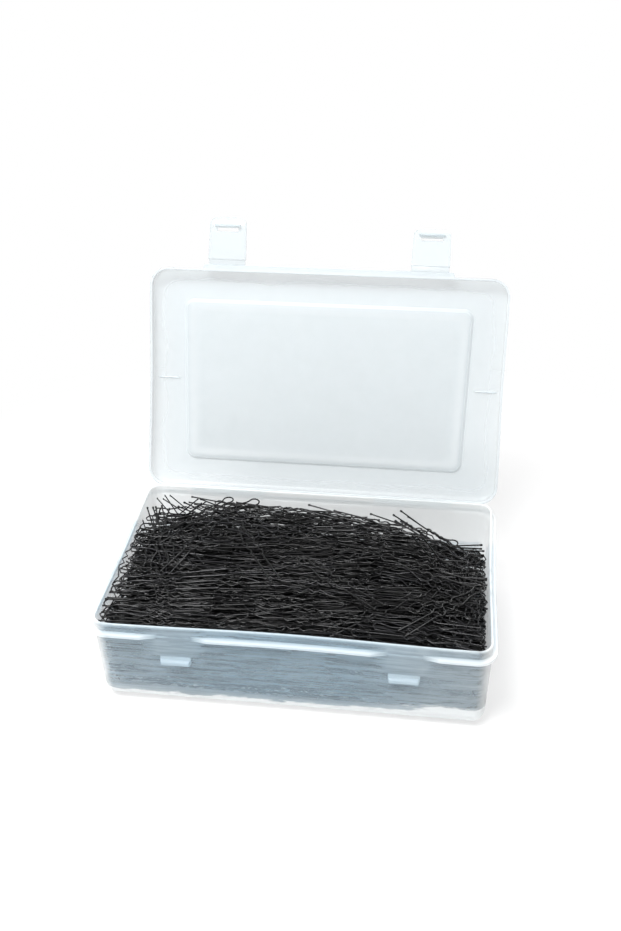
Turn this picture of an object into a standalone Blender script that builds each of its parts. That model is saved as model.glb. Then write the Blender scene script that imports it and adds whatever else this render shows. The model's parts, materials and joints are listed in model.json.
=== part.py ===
"""Hinged plastic box of wavy hairpins, open as it stands on a table.

Run with: blender --background --python part.py
Metres, +Z up, the box's front towards -Y. The origin is the middle of the tray's underside.
"""

import math
import random

import bmesh
import bpy
import numpy as np
from mathutils import Matrix

MM = 0.001

# Tray
TRAY_WIDTH = 178.0 * MM
TRAY_DEPTH = 109.5 * MM
TRAY_HEIGHT = 48.0 * MM
WALL = 1.3 * MM
FLOOR = 1.5 * MM
CORNER_RADIUS = 7.0 * MM
EDGE_RADIUS = 9.0 * MM
LEAST_RADIUS = 2.0 * MM
WALL_DRAFT = 1.4 * MM
FRONT_BOW = 1.6 * MM
SIDE_BOW = 0.6 * MM

# Flange round the tray that the lid's skirt stands on
FLANGE_DROP = 4.5 * MM
FLANGE_THICK = 1.9 * MM
FLANGE_OUT = 2.2 * MM

# Latches, their catches and the pads behind them
LATCH_SPACING = 102.4 * MM
LATCH_GAP = 26.0 * MM
LATCH_WIDTH = 19.4 * MM
LATCH_TIP_WIDTH = 18.4 * MM
LATCH_LENGTH = 22.8 * MM
LATCH_THICK = 1.2 * MM
LATCH_TIP_RADIUS = 4.0 * MM
LATCH_LIP_LENGTH = 4.2 * MM
LATCH_LIP_BEND = 1.5 * MM
LATCH_WEB_LENGTH = 1.6 * MM
LATCH_WEB_THICK = 0.45 * MM
SLOT_WIDTH = 10.8 * MM
SLOT_HEIGHT = 1.8 * MM
HOOK_WIDTH = 13.0 * MM
HOOK_THICK = 1.4 * MM
HOOK_GRIP = 1.5 * MM
CATCH_WIDTH = 14.2 * MM
CATCH_HEIGHT = 3.8 * MM
CATCH_OUT = 2.5 * MM
CATCH_TAPER = 0.6 * MM
CATCH_DROP = 20.8 * MM
PAD_WIDTH = 18.6 * MM
PAD_OUT = 0.5 * MM
PAD_HEIGHT = 11.5 * MM

# Lid
LID_HEIGHT = 8.4 * MM
LID_WALL = 1.2 * MM
LID_EDGE_RADIUS = 2.2 * MM
LID_SIDE_BOW = 0.5 * MM
RECESS_WIDTH = 146.5 * MM
RECESS_DEPTH = 81.5 * MM
RECESS_SHIFT = 0.8 * MM
RECESS_DROP = 1.4 * MM
RECESS_SLOPE = 1.2 * MM
RECESS_RADIUS = 4.0 * MM
RECESS_TAPER = 2.0 * MM
RIB_LENGTH = 12.0 * MM
RIB_WIDTH = 0.8 * MM
RIB_HEIGHT = 0.5 * MM
STRIP_WIDTH = 126.5 * MM
STRIP_HEIGHT = 4.2 * MM
STRIP_OUT = 2.4 * MM
LABEL_MARGIN = 5.0 * MM
LABEL_THICK = 0.2 * MM

# Hinge straps between tray and lid
STRAP_SPACING = 96.6 * MM
STRAP_WIDTH = 40.0 * MM
STRAP_THICK = 0.5 * MM
SHELF_THICK = 0.9 * MM
SHELF_DROP = 0.4 * MM
HINGE_OUT = 0.9 * MM

# Hairpins
PIN_LENGTH = 50.0 * MM
PIN_WIRE = 0.75 * MM
PIN_TIP_RATIO = 1.5
PIN_HEAD = 5.2 * MM
PIN_NECK = 2.6 * MM
PIN_SPREAD = 4.8 * MM
WAVE_START = 15.0 * MM
WAVE_PITCH = 5.5 * MM
WAVE_COUNT = 3
WAVE_DEPTH = 0.6 * MM
PIN_ROW_COUNT = 11
PIN_COLUMN_COUNT = 3
CROSSING_PIN_COUNT = 11
PIN_SEED = 18
PIN_CONTOUR_SHARE = 0.6
HEAP_DROP = 2.1 * MM
HEAP_RING_SHARES = (0.95, 0.9, 0.85, 0.8, 0.74, 0.66, 0.57, 0.4, 0.2)
HEAP_FALL = 24.0 * MM
HEAP_SLOPE_REACH = 20.0 * MM
HEAP_CREST_SHARE = (-0.36, 0.745)
HEAP_CREST_BEND = {"left": 12.0 * MM, "right": 38.0 * MM}
HEAP_SKIN = 1.3 * MM

# Gaps, and the angles the photographed box stands at
GAP = 0.3 * MM
HEAP_CLEAR = 0.4 * MM
LATCH_CLEAR = 0.35 * MM
WELD_DISTANCE = 0.005 * MM
LID_OPEN = math.radians(113.0)
LATCH_LEAN = {"left": math.radians(5.0), "right": math.radians(28.0)}

CORNER_STEPS = 5
SIDE_STEPS = 6
HEAP_SIDE_STEPS = 14
ROUND_STEPS = 4

TRAY_HALF = (TRAY_WIDTH / 2, TRAY_DEPTH / 2)
FLANGE_TOP = TRAY_HEIGHT - FLANGE_DROP
LID_HALF = (TRAY_WIDTH / 2 + FLANGE_OUT, TRAY_DEPTH / 2 + FLANGE_OUT)
SKIRT_BOTTOM = FLANGE_TOP + GAP
HINGE_Y = LID_HALF[1] + HINGE_OUT
HINGE_Z = FLANGE_TOP + GAP / 2
LATCH_AXIS_Y = -(LID_HALF[1] + STRIP_OUT + LATCH_WEB_LENGTH / 2)
LATCH_AXIS_Z = SKIRT_BOTTOM + LATCH_WEB_LENGTH / 3
LATCH_START = LATCH_WEB_LENGTH
CATCH_BOTTOM = TRAY_HEIGHT - CATCH_DROP
SIDES = {"left": -1, "right": 1}


def clear_scene():
    for obj in list(bpy.data.objects):
        bpy.data.objects.remove(obj)


def material(name, colour, roughness, metallic=0.0, transmission=0.0):
    made = bpy.data.materials.new(name)
    made.use_nodes = True
    shader = made.node_tree.nodes["Principled BSDF"]
    shader.inputs["Base Color"].default_value = (*colour, 1.0)
    shader.inputs["Roughness"].default_value = roughness
    shader.inputs["Metallic"].default_value = metallic
    shader.inputs["Transmission Weight"].default_value = transmission
    made.diffuse_color = (*colour, 1.0)
    return made


def outline(half, radius, bow_front=0.0, bow_side=0.0, steps=SIDE_STEPS):
    """Rounded rectangle seen from above, counter-clockwise, whose front and two sides may bow inwards.

    A bowed side moves in by bow * cos(pi * f)^2, with f from -1/2 to 1/2 along it.
    """
    a, b = half
    radius = min(radius, 0.9 * a, 0.9 * b)
    straight = np.arange(1, steps) / steps - 0.5
    turn = np.linspace(0.0, math.pi / 2, CORNER_STEPS + 1)
    points = []
    for quarter in range(4):
        across, along = (a, b) if quarter % 2 == 0 else (b, a)
        bow = (bow_side, 0.0, bow_side, bow_front)[quarter]
        side = np.stack([across - bow * np.cos(math.pi * straight) ** 2, 2 * straight * (along - radius)], 1)
        corner = np.stack([across - radius + radius * np.cos(turn), along - radius + radius * np.sin(turn)], 1)
        cos, sin = round(math.cos(quarter * math.pi / 2)), round(math.sin(quarter * math.pi / 2))
        points.append(np.concatenate([side, corner]) @ np.array([[cos, sin], [-sin, cos]]))
    return np.concatenate(points)


def ring(points, z):
    """Outline points at a height, which may be one number or one for each point."""
    return np.column_stack([points, np.broadcast_to(z, len(points))])


def tray_outline(inset, z, steps=SIDE_STEPS):
    """The tray's outer wall at height z, moved in by inset."""
    lean = WALL_DRAFT * (1 - z / TRAY_HEIGHT) + inset
    half = (TRAY_HALF[0] - lean, TRAY_HALF[1] - lean)
    share = z / TRAY_HEIGHT
    return outline(half, max(CORNER_RADIUS - lean, LEAST_RADIUS), FRONT_BOW * share, SIDE_BOW * share, steps)


def wall_front(x, z):
    """How far the tray's front wall stands from the middle, outside, at x and z."""
    straight = TRAY_HALF[0] - CORNER_RADIUS
    bow = FRONT_BOW * z / TRAY_HEIGHT * math.cos(math.pi * x / (2 * straight)) ** 2
    return TRAY_HALF[1] - WALL_DRAFT * (1 - z / TRAY_HEIGHT) - bow


def make_object(name, mesh, surface, parent=None):
    obj = bpy.data.objects.new(name, mesh)
    bpy.context.scene.collection.objects.link(obj)
    if surface:
        mesh.materials.append(surface)
    obj.parent = parent
    return obj


def loft(name, rings, surface=None, parent=None, closed=False):
    """Closed solid through rings of equal counts; it wraps round when closed, or else is capped at both ends."""
    count = len(rings[0])
    points = np.concatenate(rings)
    faces = []
    pairs = len(rings) if closed else len(rings) - 1
    for i in range(pairs):
        low, high = i * count, (i + 1) % len(rings) * count
        for j in range(count):
            k = (j + 1) % count
            faces.append((low + j, low + k, high + k, high + j))
    if not closed:
        faces.append(tuple(range(count))[::-1])
        faces.append(tuple(range(len(points) - count, len(points))))
    mesh = bpy.data.meshes.new(name)
    mesh.from_pydata(points.tolist(), [], faces)
    shape = bmesh.new()
    shape.from_mesh(mesh)
    bmesh.ops.recalc_face_normals(shape, faces=shape.faces)
    bmesh.ops.triangulate(shape, faces=[f for f in shape.faces if len(f.verts) == 4])
    shape.to_mesh(mesh)
    shape.free()
    mesh.shade_smooth()
    mesh.set_sharp_from_angle(angle=math.radians(35))
    return make_object(name, mesh, surface, parent)


def prism(name, profile, x_low, x_high, parent=None, taper=0.0):
    """Extrusion along X of a profile in Y and Z; taper draws in its ends at the profile's later points."""
    share = np.linspace(0.0, 1.0, len(profile))
    low = np.array([(x_low + taper * s, y, z) for (y, z), s in zip(profile, share)])
    high = np.array([(x_high - taper * s, y, z) for (y, z), s in zip(profile, share)])
    return helper(loft(name, [low, high], parent=parent))


def block(name, low, high, parent=None):
    (x0, y0, z0), (x1, y1, z1) = low, high
    return prism(name, [(y0, z0), (y1, z0), (y1, z1), (y0, z1)], x0, x1, parent)


def helper(obj):
    obj.hide_render = True
    obj.display_type = "WIRE"
    return obj


def combine(target, tool, operation):
    step = target.modifiers.new(f"{operation.lower()}_{tool.name}", "BOOLEAN")
    step.operation = operation
    step.solver = "EXACT"
    step.object = tool


def weld(obj):
    """Joins points that a Boolean leaves in the same place."""
    obj.modifiers.new("weld", "WELD").merge_threshold = WELD_DISTANCE


def rounding(radius, base, inset):
    """Pairs of inset and height along a quarter round between a flat base and a wall."""
    for i in range(ROUND_STEPS + 1):
        angle = i / ROUND_STEPS * math.pi / 2
        yield inset + radius * (1 - math.sin(angle)), base + radius * (1 - math.cos(angle))


def make_tray(surface):
    outer = [ring(tray_outline(inset, z), z) for inset, z in rounding(EDGE_RADIUS, 0.0, 0.0)]
    outer.append(ring(tray_outline(0.0, TRAY_HEIGHT), TRAY_HEIGHT))
    inner = [ring(tray_outline(inset, z), z) for inset, z in rounding(EDGE_RADIUS - WALL, FLOOR, WALL)]
    inner.append(ring(tray_outline(WALL, TRAY_HEIGHT), TRAY_HEIGHT))
    tray = loft("tray", outer + inner[::-1], surface)
    combine(tray, make_flange(), "UNION")
    for side, sign in SIDES.items():
        combine(tray, make_shelf(side, sign), "UNION")
        combine(tray, make_pad(side, sign), "UNION")
        combine(tray, make_catch(side, sign), "UNION")
    weld(tray)
    return tray


def make_flange():
    """Ledge round the wall, cut away in front at the latches and behind at the hinge straps."""
    low, high = FLANGE_TOP - FLANGE_THICK, FLANGE_TOP
    inside, outside = tray_outline(WALL / 2, high), tray_outline(-FLANGE_OUT, high)
    flange = loft("flange", [ring(inside, low), ring(outside, low), ring(outside, high), ring(inside, high)], closed=True)
    reach = 3 * FLANGE_OUT + FRONT_BOW
    for side, sign in SIDES.items():
        for place, spacing, width, front in (
            ("latch", LATCH_SPACING, LATCH_GAP, -1),
            ("strap", STRAP_SPACING, STRAP_WIDTH + 2 * GAP, 1),
        ):
            x, y = sign * spacing / 2, front * TRAY_HALF[1]
            gap = block(
                f"{place}_gap_{side}",
                (x - width / 2, y - reach, low - FLANGE_THICK),
                (x + width / 2, y + reach, high + FLANGE_THICK),
            )
            combine(flange, gap, "DIFFERENCE")
    return helper(flange)


def make_shelf(side, sign):
    """Thin shelf behind the wall that carries a hinge strap."""
    x, high = sign * STRAP_SPACING / 2, FLANGE_TOP - SHELF_DROP
    low_corner = (x - STRAP_WIDTH / 2, TRAY_HALF[1] - WALL / 2, high - SHELF_THICK)
    return block(f"shelf_{side}", low_corner, (x + STRAP_WIDTH / 2, LID_HALF[1], high))


def make_pad(side, sign):
    """Shallow raised panel on the front wall that the closed latch lies over."""
    x = sign * LATCH_SPACING / 2
    low = CATCH_BOTTOM + CATCH_HEIGHT
    front = wall_front(x, low + PAD_HEIGHT / 2)
    return block(
        f"pad_{side}",
        (x - PAD_WIDTH / 2, -front - PAD_OUT, low),
        (x + PAD_WIDTH / 2, -front + WALL / 2, low + PAD_HEIGHT),
    )


def make_catch(side, sign):
    """Wedge under the pad that the latch's hook snaps beneath."""
    x = sign * LATCH_SPACING / 2
    low, high = CATCH_BOTTOM, CATCH_BOTTOM + CATCH_HEIGHT
    front = wall_front(x, low)
    profile = [
        (-front + WALL / 2, high + GAP),
        (-front, high + GAP),
        (-front - CATCH_OUT, high - CATCH_HEIGHT / 3),
        (-front - CATCH_OUT, low),
        (-front + WALL / 2, low),
    ]
    return prism(f"catch_{side}", profile, x - CATCH_WIDTH / 2, x + CATCH_WIDTH / 2, taper=CATCH_TAPER)


def in_hinge(points):
    """Row coordinates of the closed lid, taken to its hinge empty."""
    return np.asarray(points) - np.array([0.0, HINGE_Y, HINGE_Z])


def lid_ring(inset, z):
    half = (LID_HALF[0] - inset, LID_HALF[1] - inset)
    corner = max(CORNER_RADIUS + FLANGE_OUT - inset, LEAST_RADIUS)
    return in_hinge(ring(outline(half, corner, 0.0, LID_SIDE_BOW), SKIRT_BOTTOM + z))


def recess_ring(grow, z):
    """The label's recess, grown by a margin; it narrows towards the hinge."""
    half = (RECESS_WIDTH / 2 + grow, RECESS_DEPTH / 2 + grow)
    points = outline(half, max(RECESS_RADIUS + grow, LEAST_RADIUS))
    points[:, 0] *= 1 - RECESS_TAPER / half[0] * (points[:, 1] / half[1] + 1) / 2
    points[:, 1] += RECESS_SHIFT
    return in_hinge(ring(points, SKIRT_BOTTOM + z))


def make_lid(surface, hinge):
    outer = [lid_ring(0.0, 0.0)]
    for inset, down in reversed(list(rounding(LID_EDGE_RADIUS, 0.0, 0.0))):
        outer.append(lid_ring(inset, LID_HEIGHT - down))
    outer.append(recess_ring(0.0, LID_HEIGHT))
    outer.append(recess_ring(-RECESS_SLOPE, LID_HEIGHT - RECESS_DROP))
    inner = [lid_ring(LID_WALL, 0.0)]
    for inset, down in reversed(list(rounding(LID_EDGE_RADIUS - LID_WALL, LID_WALL, LID_WALL))):
        inner.append(lid_ring(inset, LID_HEIGHT - down))
    inner.append(recess_ring(LID_WALL, LID_HEIGHT - LID_WALL))
    inner.append(recess_ring(LID_WALL - RECESS_SLOPE, LID_HEIGHT - RECESS_DROP - LID_WALL))
    lid = loft("lid", outer[::-1] + inner, surface, hinge)
    combine(lid, make_strip(hinge), "UNION")
    for side, sign in SIDES.items():
        combine(lid, make_rib(side, sign, hinge), "UNION")
    weld(lid)
    return lid


def make_rib(side, sign, hinge):
    """Small rib inside the lid, half way along the margin beside the recess."""
    x = sign * (LID_HALF[0] + RECESS_WIDTH / 2) / 2
    top = SKIRT_BOTTOM + LID_HEIGHT - LID_WALL
    low = in_hinge((x - RIB_LENGTH / 2, -RIB_WIDTH / 2, top - RIB_HEIGHT))
    high = in_hinge((x + RIB_LENGTH / 2, RIB_WIDTH / 2, top + LID_WALL / 2))
    return block(f"rib_{side}", low, high, hinge)


def make_strip(hinge):
    """Bar along the lid's front skirt that both latches hang from."""
    low = in_hinge((-STRIP_WIDTH / 2, -LID_HALF[1] - STRIP_OUT, SKIRT_BOTTOM))
    high = in_hinge((STRIP_WIDTH / 2, -LID_HALF[1] + LID_WALL / 2, SKIRT_BOTTOM + STRIP_HEIGHT))
    chamfer = STRIP_OUT / 3
    profile = [
        (high[1], low[2]),
        (low[1], low[2]),
        (low[1], high[2] - chamfer),
        (low[1] + chamfer, high[2]),
        (high[1], high[2]),
    ]
    return prism("strip", profile, low[0], high[0], hinge)


def make_label(surface, hinge):
    """Blank sticker in the recess outside the lid."""
    low = LID_HEIGHT - RECESS_DROP + GAP
    rings = [recess_ring(-LABEL_MARGIN, z) for z in (low, low + LABEL_THICK)]
    return loft("label", rings, surface, hinge)


def closing_lean():
    """How far past upright a latch swings in, until its inner face is beside the catch."""
    front = wall_front(LATCH_SPACING / 2, CATCH_BOTTOM) + CATCH_OUT
    reach = -(LATCH_AXIS_Y + LATCH_THICK) - front - LATCH_CLEAR
    return math.asin(reach / (LATCH_AXIS_Z - CATCH_BOTTOM))


def latch_ring(s):
    """Cross-section of a latch at distance s from its hinge, hanging down: the tip is rounded and bends out."""
    half = (LATCH_WIDTH + (LATCH_TIP_WIDTH - LATCH_WIDTH) * s / LATCH_LENGTH) / 2
    past = s - (LATCH_LENGTH - LATCH_TIP_RADIUS)
    if past > 0:
        half -= LATCH_TIP_RADIUS - math.sqrt(max(LATCH_TIP_RADIUS**2 - past**2, 0.0))
    bend = max(s - (LATCH_LENGTH - LATCH_LIP_LENGTH), 0.0) / LATCH_LIP_LENGTH
    out = -LATCH_LIP_BEND * bend**2
    corners = ((-half, out), (half, out), (half, out + LATCH_THICK), (-half, out + LATCH_THICK))
    return np.array([(x, y, -s) for x, y in corners])


def make_latch(side, sign, surface, hinge):
    axis = bpy.data.objects.new(f"latch_axis_{side}", None)
    bpy.context.scene.collection.objects.link(axis)
    axis.parent = hinge
    axis.location = in_hinge((sign * LATCH_SPACING / 2, LATCH_AXIS_Y, LATCH_AXIS_Z))
    axis.rotation_euler.x = -math.pi / 2 - LATCH_LEAN[side]
    lip = LATCH_LENGTH - LATCH_LIP_LENGTH
    steps = [LATCH_START, *np.linspace(lip, LATCH_LENGTH, 8)]
    latch = loft(f"latch_{side}", [latch_ring(s) for s in steps], surface, axis)
    lean = closing_lean()
    grip = (LATCH_AXIS_Z - CATCH_BOTTOM + GAP + LATCH_THICK * math.sin(lean)) / math.cos(lean)
    slot = block(
        f"slot_{side}",
        (-SLOT_WIDTH / 2, -LATCH_THICK, -grip + GAP),
        (SLOT_WIDTH / 2, 2 * LATCH_THICK, -grip + GAP + SLOT_HEIGHT),
        axis,
    )
    combine(latch, slot, "DIFFERENCE")
    face, tip = LATCH_THICK, LATCH_THICK + LATCH_CLEAR + HOOK_GRIP
    profile = [
        (face / 2, -grip),
        (tip, -grip),
        (tip, -grip - HOOK_THICK / 2),
        (face, -grip - HOOK_THICK),
        (face / 2, -grip - HOOK_THICK),
    ]
    combine(latch, prism(f"hook_{side}", profile, -HOOK_WIDTH / 2, HOOK_WIDTH / 2, axis), "UNION")
    return latch


def bent_strip(name, ends, reach, width, thick, x, surface, parent=None):
    """Thin web along a cubic Bezier curve in Y and Z, from one end and heading to the other."""
    (start, start_way), (end, end_way) = ends
    curve = [start, start + reach * start_way, end - reach * end_way, end]
    rings = []
    for t in np.linspace(0.0, 1.0, 7):
        mix = ((1 - t) ** 3, 3 * t * (1 - t) ** 2, 3 * t**2 * (1 - t), t**3)
        slope = (3 * (1 - t) ** 2, 6 * t * (1 - t), 3 * t**2)
        y, z = sum(m * p for m, p in zip(mix, curve))
        dy, dz = sum(m * (q - p) for m, p, q in zip(slope, curve, curve[1:]))
        across = np.array([-dz, dy]) / math.hypot(dy, dz) * thick / 2
        rings.append(
            np.array(
                [
                    (x - width / 2, y + across[0], z + across[1]),
                    (x + width / 2, y + across[0], z + across[1]),
                    (x + width / 2, y - across[0], z - across[1]),
                    (x - width / 2, y - across[0], z - across[1]),
                ]
            )
        )
    return loft(name, rings, surface, parent)


def turned(point, angle):
    """Y and Z turned about X by the right-hand rule."""
    y, z = point
    return np.array([y * math.cos(angle) - z * math.sin(angle), y * math.sin(angle) + z * math.cos(angle)])


def make_strap(side, sign, surface):
    """Living hinge from the shelf's end to the open lid's skirt."""
    axis = np.array([HINGE_Y, HINGE_Z])
    shelf = np.array([LID_HALF[1] + GAP, FLANGE_TOP - SHELF_DROP - SHELF_THICK / 2])
    skirt = turned((GAP - HINGE_OUT, STRAP_THICK + GAP), -LID_OPEN) + axis
    ends = ((shelf, np.array([1.0, 0.0])), (skirt, turned((-1.0, 0.0), -LID_OPEN)))
    x = sign * STRAP_SPACING / 2
    return bent_strip(f"hinge_strap_{side}", ends, HINGE_OUT, STRAP_WIDTH, STRAP_THICK, x, surface)


def make_latch_web(side, sign, surface, hinge):
    """Living hinge from the strip's outer face to the latch's root, as the latch leans at rest."""
    axis = in_hinge((0.0, LATCH_AXIS_Y, LATCH_AXIS_Z))[1:]
    strip = axis + np.array([LATCH_WEB_LENGTH / 2 - GAP, -LATCH_THICK / 2 + GAP])
    open_turn = -LATCH_LEAN[side]
    root = axis + turned((-LATCH_START + GAP, -LATCH_THICK / 2), open_turn)
    ends = ((strip, np.array([-1.0, 0.0])), (root, turned((-1.0, 0.0), open_turn)))
    x = sign * LATCH_SPACING / 2
    width = LATCH_WIDTH - 2 * GAP
    return bent_strip(f"latch_web_{side}", ends, LATCH_WEB_LENGTH / 3, width, LATCH_WEB_THICK, x, surface, hinge)


def heap_top(x, y):
    """Height of the heap under the loose pins.

    It is level in front of a crest line and falls behind it by fall * (1 - exp(-(distance / reach)^2)).
    The crest is nearest the back wall left of the middle, and bends forwards as a square towards both end walls,
    more so on the right.
    """
    crest_x, crest_y = HEAP_CREST_SHARE[0] * TRAY_HALF[0], HEAP_CREST_SHARE[1] * TRAY_HALF[1]
    side = np.where(x < crest_x, TRAY_HALF[0] + crest_x, TRAY_HALF[0] - crest_x)
    bend = np.where(x < crest_x, HEAP_CREST_BEND["left"], HEAP_CREST_BEND["right"])
    past = np.maximum(y - crest_y + bend * ((x - crest_x) / side) ** 2, 0.0)
    return TRAY_HEIGHT - HEAP_DROP - HEAP_FALL * (1 - np.exp(-((past / HEAP_SLOPE_REACH) ** 2)))


def make_heap(surface):
    """Open-bottomed skin with the outer shape, and about the steel, of the pins that lie below the loose ones."""
    side = WALL + HEAP_CLEAR
    base = FLOOR + GAP
    radius = EDGE_RADIUS - WALL
    steps = [i / ROUND_STEPS * math.pi / 2 for i in range(ROUND_STEPS + 1)]
    outer = [(side + radius * (1 - math.sin(a)), base + radius * (1 - math.cos(a))) for a in steps]
    inner = [(inset + HEAP_SKIN * math.sin(a), z + HEAP_SKIN * math.cos(a)) for (inset, z), a in zip(outer, steps)]
    rings = [ring(tray_outline(inset, z, HEAP_SIDE_STEPS), z) for inset, z in outer]
    rings += heap_crown(side, 0.0)
    core = [ring(tray_outline(inset, z, HEAP_SIDE_STEPS), z) for inset, z in inner]
    core += heap_crown(side + HEAP_SKIN, HEAP_SKIN)
    count = len(rings[0])
    points = np.concatenate([*rings, *core])
    faces = []
    for first, pile in ((0, len(rings)), (len(rings), len(core))):
        for i in range(first, first + pile - 1):
            for j in range(count):
                k = (j + 1) % count
                faces.append((i * count + j, i * count + k, (i + 1) * count + k, (i + 1) * count + j))
        faces.append(tuple(range((first + pile - 1) * count, (first + pile) * count)))
    for j in range(count):
        k = (j + 1) % count
        faces.append((j, k, len(rings) * count + k, len(rings) * count + j))
    return solid_from(points, faces, "hairpin_heap", surface)


def heap_crown(inset, drop):
    """Rings over the heap's top: its edge along the tray's wall, which leans, and then smaller copies."""
    low, high = (tray_outline(inset, z, HEAP_SIDE_STEPS) for z in (0.0, TRAY_HEIGHT))
    height = heap_top(*high.T) - drop
    edge = low + (high - low) * (height / TRAY_HEIGHT)[:, None]
    inner = [ring(edge * share, heap_top(*(edge * share).T) - drop) for share in HEAP_RING_SHARES]
    return [ring(edge, height), *inner]


def solid_from(points, faces, name, surface):
    mesh = bpy.data.meshes.new(name)
    mesh.from_pydata(points.tolist(), [], faces)
    shape = bmesh.new()
    shape.from_mesh(mesh)
    bmesh.ops.triangulate(shape, faces=[f for f in shape.faces if len(f.verts) > 4])
    bmesh.ops.recalc_face_normals(shape, faces=shape.faces)
    shape.to_mesh(mesh)
    shape.free()
    mesh.shade_smooth()
    mesh.set_sharp_from_angle(angle=math.radians(35))
    return make_object(name, mesh, surface)


def pin_leg():
    """One leg from the head's crown to the tip: distance along the pin, half spacing, and wire thickness ratio."""
    bulb = PIN_HEAD / 2
    turns = np.radians([90.0, 45.0, 0.0, -35.0])
    leg = [(bulb * (1 - math.sin(a)), bulb * math.cos(a), 1.0) for a in turns]
    leg[0] = (0.0, 0.0, 1.0)
    leg.append((PIN_HEAD * 1.5, PIN_NECK / 2, 1.0))
    for i in range(2 * WAVE_COUNT):
        sway = WAVE_DEPTH * (1 if i % 2 == 0 else -1)
        leg.append((WAVE_START + (i + 0.5) * WAVE_PITCH / 2, PIN_SPREAD / 2 + sway, 1.0))
    wave_end = WAVE_START + WAVE_COUNT * WAVE_PITCH
    leg.append((wave_end + WAVE_PITCH / 2, PIN_SPREAD / 2, 1.0))
    leg.append((PIN_LENGTH - 2 * PIN_WIRE, PIN_SPREAD / 2, 1.0))
    leg.append((PIN_LENGTH, PIN_SPREAD / 2, PIN_TIP_RATIO))
    return np.array(leg)


def pin_route():
    """The whole wire, tip to tip, with the pin's middle at the origin and its head towards -X."""
    leg = pin_leg()
    other = leg[:0:-1] * np.array([1.0, -1.0, 1.0])
    return np.concatenate([other, leg]) - np.array([PIN_LENGTH / 2, 0.0, 0.0])


def sampled(route, step=0.6 * MM):
    """Points along the wire no further apart than step, with the wire's radius at each."""
    points = [route[0]]
    for a, b in zip(route, route[1:]):
        parts = max(1, math.ceil(math.hypot(b[0] - a[0], b[1] - a[1]) / step))
        points += [a + (b - a) * i / parts for i in range(1, parts + 1)]
    points = np.array(points)
    return points[:, :2], points[:, 2] * PIN_WIRE / 2


def pin_spots():
    """Place, heading and turn of each loose pin: rows and columns side by side, and then a few across the gaps.

    The heads of the outer columns are at the end walls. Places are shares of the room in the tray.
    """
    draw = random.Random(PIN_SEED)
    for row in range(PIN_ROW_COUNT):
        for column in range(PIN_COLUMN_COUNT):
            share_x = (2 * column / (PIN_COLUMN_COUNT - 1) - 1) * draw.uniform(0.98, 1.0)
            share_y = 0.95 * (2 * (row + 0.5) / PIN_ROW_COUNT - 1)
            x, y, _ = in_room(share_x, share_y, 0.0)
            yaw = heap_contour(x, y) + math.radians(draw.uniform(-1, 1))
            turn = math.pi if share_x > 0.1 or (column == 1 and row % 2) else 0.0
            yield *in_room(share_x, share_y, yaw), turn
    for i in range(CROSSING_PIN_COUNT):
        share_x = 0.45 * (-1) ** i * draw.uniform(0.9, 1.1)
        share_y = 1.35 * (i + 0.5) / CROSSING_PIN_COUNT - 0.95
        yield *in_room(share_x, share_y, math.radians(draw.uniform(3, 7) * (-1) ** (i // 2))), math.pi * (i % 3 == 0)


def heap_contour(x, y):
    """Heading part of the way round to where the heap neither rises nor falls; 0 where it is level."""
    rise_x = float(heap_top(x + PIN_HEAD, y) - heap_top(x - PIN_HEAD, y)) / (2 * PIN_HEAD)
    rise_y = float(heap_top(x, y + PIN_HEAD) - heap_top(x, y - PIN_HEAD)) / (2 * PIN_HEAD)
    return min(PIN_CONTOUR_SHARE, 3 * math.hypot(rise_x, rise_y)) * math.atan2(rise_x, max(-rise_y, 0.02))


def in_room(share_x, share_y, yaw):
    """A pin's middle at shares of its room in the tray, from -1 to 1, and its heading."""
    lean = WALL_DRAFT * HEAP_FALL / TRAY_HEIGHT
    room_x = TRAY_HALF[0] - WALL - HEAP_CLEAR - lean - SIDE_BOW - PIN_WIRE
    room_y = TRAY_HALF[1] - WALL - HEAP_CLEAR - lean - FRONT_BOW - PIN_WIRE
    reach_x = PIN_LENGTH / 2 * math.cos(yaw) + PIN_HEAD / 2 * abs(math.sin(yaw))
    reach_y = PIN_LENGTH / 2 * abs(math.sin(yaw)) + PIN_HEAD / 2 * math.cos(yaw)
    return share_x * (room_x - reach_x), share_y * (room_y - reach_y), yaw


def pin_axes(heading, slope, roll):
    """Axes of a pin as rows: along it, across it, and up, from its heading and its slopes along and across."""
    along = np.array([math.cos(heading), math.sin(heading), slope]) / math.hypot(1.0, slope)
    across = np.array([-math.sin(heading), math.cos(heading), roll])
    across -= along * (across @ along)
    across /= np.linalg.norm(across)
    return np.array([along, across, np.cross(along, across)])


def heap_roll(x, y, heading):
    """Slope of the heap across a pin."""
    step = np.array([-math.sin(heading), math.cos(heading)]) * PIN_SPREAD / 2
    return float(heap_top(x + step[0], y + step[1]) - heap_top(x - step[0], y - step[1])) / PIN_SPREAD


def heights_needed(points, radius, upright, laid):
    """For each point of a pin, how high the pin's middle must be to clear the heap and the pins laid so far."""
    plan, lift = points[:, :2], points[:, 2]
    need = heap_top(*plan.T) + radius / upright + GAP - lift
    if len(laid):
        apart = np.hypot(plan[:, None, 0] - laid[:, 0], plan[:, None, 1] - laid[:, 1])
        clear = (radius[:, None] + laid[:, 3] + 1.2 * GAP) / upright
        over = laid[:, 2] + np.sqrt(np.maximum(clear**2 - apart**2, 0.0)) - lift[:, None]
        need = np.maximum(need, np.where(apart < clear, over, -1.0).max(1))
    return need


def resting_slope(along, need):
    """Slope of the lowest line over all points, which touches one before and one behind the pin's middle."""
    behind, ahead = along < 0, along >= 0
    a, b = need[behind][:, None], need[ahead][None]
    sa, sb = along[behind][:, None], along[ahead][None]
    i, j = np.unravel_index(np.argmax((a * sb - b * sa) / (sb - sa)), (behind.sum(), ahead.sum()))
    return float((b[0, j] - a[i, 0]) / (sb[0, j] - sa[i, 0]))


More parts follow.
